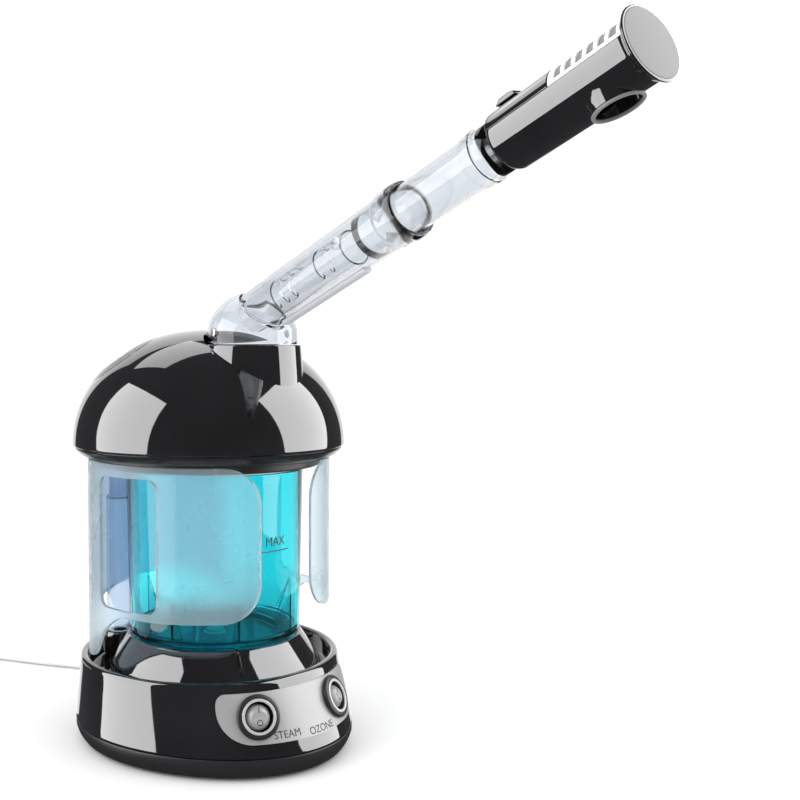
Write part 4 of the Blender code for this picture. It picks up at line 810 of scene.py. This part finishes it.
def makeRiser():
    t = tank
    spot = at(*riserSpot)
    foot = base["recess"]
    socket = [
        (0.0040, foot + 0.0150), (t["socket"], foot + 0.0150, 0.0014), (t["socket"], foot + 0.0003),
        (0.0052, foot + 0.0003), (0.0052, foot - 0.0080), (0.0036, foot - 0.0080), (0.0036, foot + 0.0020)]
    dress(turned("riserSocket", socket, spot, 72, True), "riser_socket", paint=paints["black_gloss"])
    r, wall, top = t["riser"], 0.0012, t["riserTop"]
    tube = [
        (r - wall - 0.0014, top + 0.0150), (r - 0.0016, top + 0.0150, 0.0004), (r - 0.0016, top, 0.0004),
        (r, top - 0.0002, 0.0014), (r, foot + 0.0153), (r - wall, foot + 0.0153),
        (r - wall, top - 0.0020, 0.0008),
        (r - wall - 0.0014, top)]
    dress(turned("steamRiser", tube, spot, 72, True), "steam_riser", paint=riserPaint)


sleeve = {
    "radius": 0.0670, "wall": 0.0020, "top": 0.1543, "bottom": 0.0756, "gap": 0.0173, "corner": 0.0190,
    "windowAzimuth": 79.5, "windowHalf": 0.0204, "windowTop": 0.1480, "windowBottom": 0.0790,
    "windowCorner": 0.0060,
    "legCentre": 0.0262, "legHalf": 0.0150, "legBottom": 0.0486,
}


def gapOutline():
    s = sleeve
    wide, corner = s["gap"] + s["corner"], s["corner"]
    upper = np.radians(np.linspace(90, 180, 25))
    lower = np.radians(np.linspace(180, 270, 25))
    right = [(wide, s["top"] + 0.004)]
    right += [(wide + corner * math.cos(a), s["top"] - corner + corner * math.sin(a)) for a in upper]
    right += [(wide + corner * math.cos(a), s["bottom"] + corner + corner * math.sin(a)) for a in lower]
    right.append((wide, s["bottom"] - 0.004))
    return right + [(-x, y) for x, y in right[::-1]]


def legOutline():
    s = sleeve
    c, w, low = s["legCentre"], s["legHalf"], s["legBottom"]
    rise = s["bottom"] - low
    rough = [(c - w - 0.020, s["bottom"], 0.004), (c - w - 0.0065, s["bottom"] - 0.0088, 0.010),
             (c - w - 0.0020, low + rise * 0.42, 0.008), (c - w + 0.0020, low + 0.0046, 0.004),
             (c - w + 0.0070, low + 0.0008, 0.004), (c, low)]
    front = soften([(-0.29, s["bottom"])] + rough, steps=8).tolist()[1:]
    back = [(2 * c - y, z) for y, z in front[::-1][1:]]
    return [(-0.29, s["bottom"]), *front, *back, (0.29, s["bottom"]), (0.29, 0.02), (-0.29, 0.02)]


def roundedBox(half, low, high, corner, steps=12):
    turns = ((half - corner, high - corner, 0), (-half + corner, high - corner, 90),
             (-half + corner, low + corner, 180), (half - corner, low + corner, 270))
    return [(x + corner * math.cos(a), y + corner * math.sin(a)) for x, y, start in turns
            for a in np.radians(np.linspace(start, start + 90, steps))]


def makeSleeve():
    s = sleeve
    profile = [
        (s["radius"] - s["wall"], s["top"], 0.0006), (s["radius"], s["top"], 0.0006), (s["radius"], 0.1000),
        (s["radius"], 0.0450), (s["radius"] - s["wall"], 0.0450), (s["radius"] - s["wall"], 0.1000)]
    shell = turned("frostedSleeve", profile, None, 256, True)
    upright = Vector((0, 0, 1))
    front = frameAt(Vector((0, -s["radius"], 0)), Vector((1, 0, 0)), upright, Vector((0, -1, 0)))
    side = frameAt(Vector((0, 0, 0)), Vector((0, 1, 0)), upright, Vector((1, 0, 0)))
    cuts = [(prism("gap", gapOutline(), 0.04, front), "DIFFERENCE"),
            (prism("legs", legOutline(), 0.10, side), "DIFFERENCE")]
    window = roundedBox(s["windowHalf"], s["windowBottom"], s["windowTop"], s["windowCorner"])
    for i, sign in enumerate((-1, 1)):
        out = towards(sign * s["windowAzimuth"])
        place = frameAt(out * s["radius"], upright.cross(out), upright, out)
        cuts.append((prism(f"window{i}", window, 0.03, place), "DIFFERENCE"))
    shell = roundEdges(carve(shell, *cuts), 0.00035, 2, 50)
    dress(shell, "frosted_sleeve")


makeSeat()
makeTank()
makeRiser()
makeSleeve()
print("tank and sleeve are in")

# ------ dome
dome = {
    "radius": 0.0752, "bottom": 0.1611, "top": 0.2245, "power": 2.1, "trimBottom": 0.1560,
    "trimRadius": 0.0695,
    "collar": 0.0618, "collarBottom": 0.1505, "flange": 0.0666, "wall": 0.0022,
    "bossOffset": 0.0376, "bossTop": 0.2161, "bossRadius": 0.0257, "bossFoot": 0.0278, "bore": 0.0205,
    "lensNormal": (-0.455, 0.355, 0.816), "lensDistance": 0.1987, "lensThick": 0.0026,
}


def domeProfile(radius, top, bottom, steps=60):
    # quarter of a superellipse, from the top down
    angle = np.radians(np.linspace(90, 0, steps))
    reach = radius * np.maximum(np.cos(angle), 0) ** (2 / dome["power"])
    height = dome["bottom"] + (top - dome["bottom"]) * np.sin(angle) ** (2 / dome["power"])
    reach[0] = 0
    return [*zip(reach.tolist()[:-1], height.tolist()[:-1]), (radius, dome["bottom"] + 0.0006, 0.0008),
            (radius - 0.0007, bottom, 0.0004), (0, bottom)]


def lensFrame(depth=0.0):
    normal = Vector(dome["lensNormal"]).normalized()
    middle = Vector((0, 0, dome["bottom"]))
    origin = middle + normal * (dome["lensDistance"] - middle.dot(normal) - depth)
    across = normal.cross(Vector((0, 0, 1))).normalized()
    return frameAt(origin, across, normal.cross(across).normalized(), normal)


def slab(name, width, low, high, place):
    corners = [(-width, -width), (width, -width), (width, width), (-width, width)]
    return prism(name, corners, (high - low) / 2, place @ at(0, 0, (high + low) / 2))


def makeDome():
    d = dome
    boss = at(0, -d["bossOffset"])
    shell = turned("domeShell", domeProfile(d["radius"], d["top"], d["bottom"]), None, 256)
    post = [(0, d["bossTop"]), (d["bossRadius"], d["bossTop"], 0.0008), (d["bossRadius"] + 0.0012, 0.2000),
            (d["bossFoot"], 0.1830), (0, 0.1830)]
    pocket = [(0, 0.24), (d["bossRadius"] + 0.0004, 0.24),
              (d["bossRadius"] + 0.0004, d["bossTop"] + 0.0001),
              (0, d["bossTop"] + 0.0001)]
    hollow = domeProfile(d["radius"] - d["wall"], d["top"] - d["wall"], d["bottom"] - 0.010, 40)
    bore = [(0, 0.23), (d["bore"], 0.23), (d["bore"], 0.18), (0, 0.18)]
    thick = d["lensThick"] + 0.0003
    shell = carve(
        shell, (turned("post", post, boss, 192), "UNION"),
        (turned("pocket", pocket, boss, 192), "DIFFERENCE"),
        (turned("hollow", hollow, None, 128), "DIFFERENCE"), (turned("bore", bore, boss, 96), "DIFFERENCE"),
        (slab("lensCut", 0.045, 0.0, 0.04, lensFrame(thick)), "DIFFERENCE"), sharp=30)
    dress(shell, "dome_shell")
    lens = turned("rearLens", domeProfile(d["radius"], d["top"], d["bottom"]), None, 256)
    lens = carve(lens, (slab("lensKeep", 0.045, -d["lensThick"], 0.0, lensFrame()), "INTERSECT"))
    dress(roundEdges(lens, 0.0004, 3), "rear_lens")
    trim = [(d["collar"] + 0.0052, d["bottom"] - 0.0003),
            (d["radius"] - 0.0012, d["bottom"] - 0.0003, 0.0004),
            (d["radius"] - 0.0016, d["bottom"] - 0.0016, 0.0010),
            (d["trimRadius"], d["trimBottom"], 0.0012),
            (d["collar"] + 0.0052, d["trimBottom"])]
    dress(turned("domeTrim", trim, None, 256, True), "dome_trim_ring")
    lip = sleeve["top"] + 0.0003
    neck = [(d["collar"] - 0.0020, d["trimBottom"] + 0.0030), (d["flange"], d["trimBottom"] + 0.0030),
            (d["flange"], lip, 0.0004), (d["collar"], lip, 0.0004),
            (d["collar"], d["collarBottom"], 0.0010),
            (0.0569, d["collarBottom"]), (0.0569, d["collarBottom"] + 0.0020),
            (d["collar"] - 0.0020, d["collarBottom"] + 0.0020)]
    neck = turned("domeCollar", neck, None, 192, True)
    gap = [(0, 0.162), (tank["riser"] + 0.0010, 0.162), (tank["riser"] + 0.0010, 0.145), (0, 0.145)]
    dress(carve(neck, (turned("gap", gap, at(*riserSpot), 48), "DIFFERENCE")), "dome_collar")


makeDome()
print("dome is in")

# ------ arm
arm = {
    "azimuth": -6.1, "elevation": 20.05, "pivot": 0.2308, "elbow": 0.0238, "mouth": 0.0110,
    "shoulder": 0.2225, "elbowWall": 0.0018, "railHalf": 0.0340, "railMiddle": 0.0610,
    "lower": 0.0126, "lowerWall": 0.0011, "collarEnd": 0.1310, "liner": 0.0088,
    "linerWall": 0.0008, "linerEnd": 0.0900, "button": 0.0918, "upperStart": 0.1030, "upperLow": 0.0113,
    "upperHigh": 0.0109, "upperWall": 0.0010, "upperEnd": 0.1897, "neckRing": 0.1735,
    "slots": (0.0327, 0.0402, 0.0477, 0.0702, 0.0782),
}
armAlong = np.array([
    math.sin(math.radians(arm["azimuth"])) * math.cos(math.radians(arm["elevation"])),
    -math.cos(math.radians(arm["azimuth"])) * math.cos(math.radians(arm["elevation"])),
    math.sin(math.radians(arm["elevation"]))])
armSide = np.cross(armAlong, (0, 0, 1.0))
armSide /= np.linalg.norm(armSide)
armUp = np.cross(armSide, armAlong)
armPivot = np.array([0, -dome["bossOffset"], arm["pivot"]])


def alongArm(distance, up=0.0):
    # local Z along the arm and local Y up, at this distance from the pivot
    origin = armPivot + armAlong * distance + armUp * up
    return frameAt(Vector(origin), Vector(-armSide), Vector(armUp), Vector(armAlong))


def armRing(distance, radius, count=96):
    return ring(armPivot + armAlong * distance, armAlong, -armSide, radius, count)


def mitredRing(radius, shift, count=96):
    # a ring of a tube on the arm's axis, cut by the plane halfway between upright and the arm
    normal = np.array([0, 0, 1.0]) + armAlong
    flat = ring(np.zeros(3), armAlong, -armSide, radius, count)
    slide = -(flat @ normal) / (armAlong @ normal)
    return armPivot + flat + armAlong * (slide[:, None] + shift)


def armStud(name, profile, place, out):
    # a small turned stud, local Z pointing out of the tube's side
    matrix = frameAt(Vector(place), Vector(armAlong), Vector(np.cross(out, armAlong)), Vector(out))
    return turned(name, profile, matrix, 48)


def makeElbow():
    upright = np.array([0, 0, 1.0])
    floor = dome["bossTop"] + 0.0003
    boss = np.array([0, -dome["bossOffset"], 0])
    rings = [ring(boss + upright * z, upright, -armSide, arm["elbow"], 96)
             for z in np.linspace(floor, arm["shoulder"], 4)]
    mouth = mitredRing(arm["lower"] + 0.0003, arm["mouth"])
    low = rings[-1]
    for share in np.linspace(0, 1, 25)[1:]:
        rise, drawn = math.sin(share * math.pi / 2), 1 - math.cos(share * math.pi / 2)
        mixed = low + (mouth - low) * drawn
        mixed[:, 2] = low[:, 2] + (mouth[:, 2] - low[:, 2]) * rise
        rings.append(mixed)
    dress(roundEdges(loft("elbow", rings, arm["elbowWall"]), 0.0004, 2, 50), "elbow")
    for i, sign in enumerate((-1, 1)):
        out = armSide * sign
        place = boss + upright * (floor + 0.0060) + out * (arm["elbow"] + 0.0003)
        stud = [(0, 0.0012), (0.0016, 0.0012, 0.0004), (0.0026, 0.0005, 0.0004), (0.0026, 0.0001),
                (0, 0.0001)]
        dress(armStud(f"elbowStud{i + 1}", stud, place, out), f"elbow_screw_{i + 1}")


def makeLower():
    a = arm
    rings = [mitredRing(a["lower"], a["mouth"] + 0.00045)]
    rings += [armRing(d, a["lower"]) for d in np.linspace(0.030, a["collarEnd"], 12)]
    dress(roundEdges(loft("lowerTube", rings, a["lowerWall"]), 0.0002, 2, 50), "lower_tube")
    # the rib under the tube is real; its grey colour is painted shade
    rail = prism("rail", roundedBox(0.0025, -0.0012, 0.0012, 0.0010), a["railHalf"],
                 alongArm(a["railMiddle"], -a["lower"] - 0.0009))
    dress(roundEdges(rail, 0.0003, 2), "lower_tube", paint=ink["rail"])
    rings = [armRing(d, a["liner"], 72) for d in np.linspace(0.001, a["linerEnd"], 8)]
    liner = loft("steamLiner", rings, a["linerWall"])
    cuts = [(prism(f"slot{i}", roundedBox(0.0013, -0.0110, 0.0110, 0.0012), 0.0055,
                   alongArm(d) @ at(-0.0041, 0.0041) @ Matrix.Rotation(math.pi / 2, 4, "Y")), "DIFFERENCE")
            for i, d in enumerate(a["slots"])]
    dress(carve(liner, *cuts), "steam_liner")
    band = [(a["lower"] + 0.0003, 0.0), (a["lower"] + 0.0006, 0.0, 0.0003),
            (a["lower"] + 0.0011, -0.0030, 0.0012),
            (a["lower"] + 0.0011, -0.0120, 0.0012), (a["lower"] + 0.0003, -0.0135)]
    dress(turned("tubeCollar", band, alongArm(a["collarEnd"]), 96, True), "tube_collar")
    place = armPivot + armAlong * a["button"] + armSide * (a["lower"] + 0.0003)
    stud = [(0, 0.0012), (0.0024, 0.0012, 0.0005), (0.0031, 0.0004, 0.0004), (0.0031, 0.0), (0, 0.0)]
    dress(armStud("lockButton", stud, place, armSide), "lock_button")


def makeUpper():
    a = arm
    spots = np.linspace(a["upperStart"], a["upperEnd"], 12)
    radii = a["upperLow"] + (a["upperHigh"] - a["upperLow"]) * (spots - spots[0]) / (spots[-1] - spots[0])
    rings = [armRing(d, r) for d, r in zip(spots, radii)]
    dress(loft("upperTube", rings, a["upperWall"]), "upper_tube")
    inner = a["upperHigh"] + 0.0003
    band = [(inner, 0.0060), (inner + 0.0007, 0.0060, 0.0005), (inner + 0.0007, 0.0, 0.0005), (inner, 0.0)]
    dress(turned("neckRing", band, alongArm(arm["neckRing"]), 96, True), "neck_ring")


makeElbow()
makeLower()
makeUpper()
print("arm is in")

# ------ head
head = {
    "start": 0.1900, "end": 0.2577, "roll": 6.6, "radius": 0.0128, "wall": 0.0016, "nozzle": 0.2389,
    "tilt": 3.8,
    "reach": 0.0138, "nozzleRadius": 0.0102, "bore": 0.0088, "coverInner": 0.0121, "cover": 0.0129,
    "coverHalf": 72, "coverEnd": 0.2232, "grille": 0.2237, "slots": 6, "slotHalf": 0.0017,
    "slotStart": 0.0046, "slotPitch": 0.0051, "tab": 0.0085, "cap": 0.0150, "capThick": 0.0022,
}


def onHead(distance, up=0.0):
    return alongArm(distance) @ Matrix.Rotation(math.radians(head["roll"]), 4, "Z") @ at(0, up)


def coverOutline(inner, outer, half, steps=40):
    # end view of a curved cover over the head's top
    angle = np.radians(np.linspace(-half, half, steps + 1))
    arcs = [np.column_stack([radius * np.sin(angle), radius * np.cos(angle)]) for radius in (outer, inner)]
    return np.vstack([arcs[0], arcs[1][::-1]])


def makeHead():
    h = head
    length = h["end"] - h["start"]
    start = onHead(h["start"])
    r = h["radius"]
    profile = [(0, length), (r + 0.0006, length, 0.0004), (r, length - 0.0016, 0.0006), (r, 0.0020, 0.0008),
               (r - 0.0004, 0.0008, 0.0005), (r - 0.0012, 0.0), (0, 0.0)]
    shell = turned("headShell", profile, start, 160)
    down = onHead(h["nozzle"]) @ Matrix.Rotation(math.radians(90 - h["tilt"]), 4, "X")
    recess = coverOutline(h["coverInner"] - 0.0003, h["cover"] + 0.0040, h["coverHalf"] + 1.4)
    spout = [(0, h["reach"] - 0.0012), (h["nozzleRadius"], h["reach"] - 0.0012),
             (h["nozzleRadius"] + 0.0012, 0.0030), (0, 0.0030)]
    inner = r - h["wall"]
    bore = [(0, length + 0.002), (inner, length + 0.002), (inner, 0.005), (0, 0.005)]
    inlet = [(0, 0.010), (0.0080, 0.010), (0.0080, -0.002), (0, -0.002)]
    mouth = [(0, 0.02), (h["bore"], 0.02), (h["bore"], 0.0), (0, 0.0)]
    seat = [(0, 0.02), (h["nozzleRadius"] + 0.0003, 0.02),
            (h["nozzleRadius"] + 0.0003, h["reach"] - 0.0011),
            (0, h["reach"] - 0.0011)]
    shell = carve(
        shell, (prism("recess", recess, length / 2 + 0.005, start @ at(0, 0, length / 2)), "DIFFERENCE"),
        (turned("spout", spout, down, 96), "UNION"), (turned("bore", bore, start, 96), "DIFFERENCE"),
        (turned("inlet", inlet, start, 64), "DIFFERENCE"), (turned("mouth", mouth, down, 64), "DIFFERENCE"),
        (turned("seat", seat, down, 64), "DIFFERENCE"), sharp=34)
    dress(shell, "head_shell")
    lip = [(h["bore"], h["reach"]), (h["nozzleRadius"], h["reach"], 0.0004),
           (h["nozzleRadius"], h["reach"] - 0.0009),
           (h["bore"], h["reach"] - 0.0009)]
    dress(turned("nozzleRing", lip, down, 96, True), "nozzle_ring")
    outline = coverOutline(h["coverInner"], h["cover"], h["coverHalf"])
    long = h["coverEnd"] - h["start"] - 0.0005
    strip = prism("topStrip", outline, long / 2, onHead(h["start"] + 0.0005 + long / 2))
    dress(roundEdges(strip, 0.0003, 3), "top_strip")
    long = h["end"] - h["grille"] - 0.0003
    window = prism("grilleWindow", outline, long / 2, onHead(h["grille"] + long / 2))
    slot = coverOutline(h["coverInner"] - 0.0040, h["cover"] + 0.0040, h["coverHalf"] - 7)
    cuts = []
    for i in range(h["slots"]):
        middle = h["grille"] + h["slotStart"] + h["slotPitch"] * i
        cuts.append((prism(f"slot{i}", slot, h["slotHalf"], onHead(middle)), "DIFFERENCE"))
    dress(roundEdges(carve(window, *cuts), 0.0002, 2), "grille_window", paint=windowPaint)
    # painted shade: a thin grey sheet under the grille's slots stands in for the shade inside them
    slotShade = coverOutline(h["coverInner"] - 0.0002, h["coverInner"] + 0.00004, h["coverHalf"] - 4)
    slotShade = prism("slotShadeSheet", slotShade, long / 2 - 0.0022, onHead(h["grille"] + long / 2))
    dress(slotShade, "grille_window", paint=ink["grey"])
    tab = [(-0.0055, 0.0), (0.0055, 0.0), (0.0048, 0.0016), (0.0020, 0.0023), (-0.0030, 0.0021)]
    turn = Matrix(((0, 0, -1, 0), (0, 1, 0, 0), (1, 0, 0, 0), (0, 0, 0, 1)))
    place = onHead(h["start"] + h["tab"], h["cover"] + 0.0003) @ turn
    dress(roundEdges(prism("thumbTab", tab, 0.0042, place), 0.0005, 3), "thumb_tab")
    rim = h["cap"] - 0.0011
    disc = [(0, h["capThick"]), (rim, h["capThick"], 0.0003), (rim, 0.0004), (0, 0.0004)]
    dress(turned("endCap", disc, alongArm(h["end"] + 0.0003), 128), "end_cap")
    edge = [(rim + 0.0001, h["capThick"] - 0.0002), (h["cap"], h["capThick"] - 0.0004, 0.0006),
            (h["cap"], 0.0010, 0.0004), (h["radius"] + 0.0006, 0.0), (rim + 0.0001, 0.0)]
    dress(turned("capRim", edge, alongArm(h["end"] + 0.0003), 128, True),
        "end_cap", paint=paints["black_gloss"])


makeHead()
print("head is in")
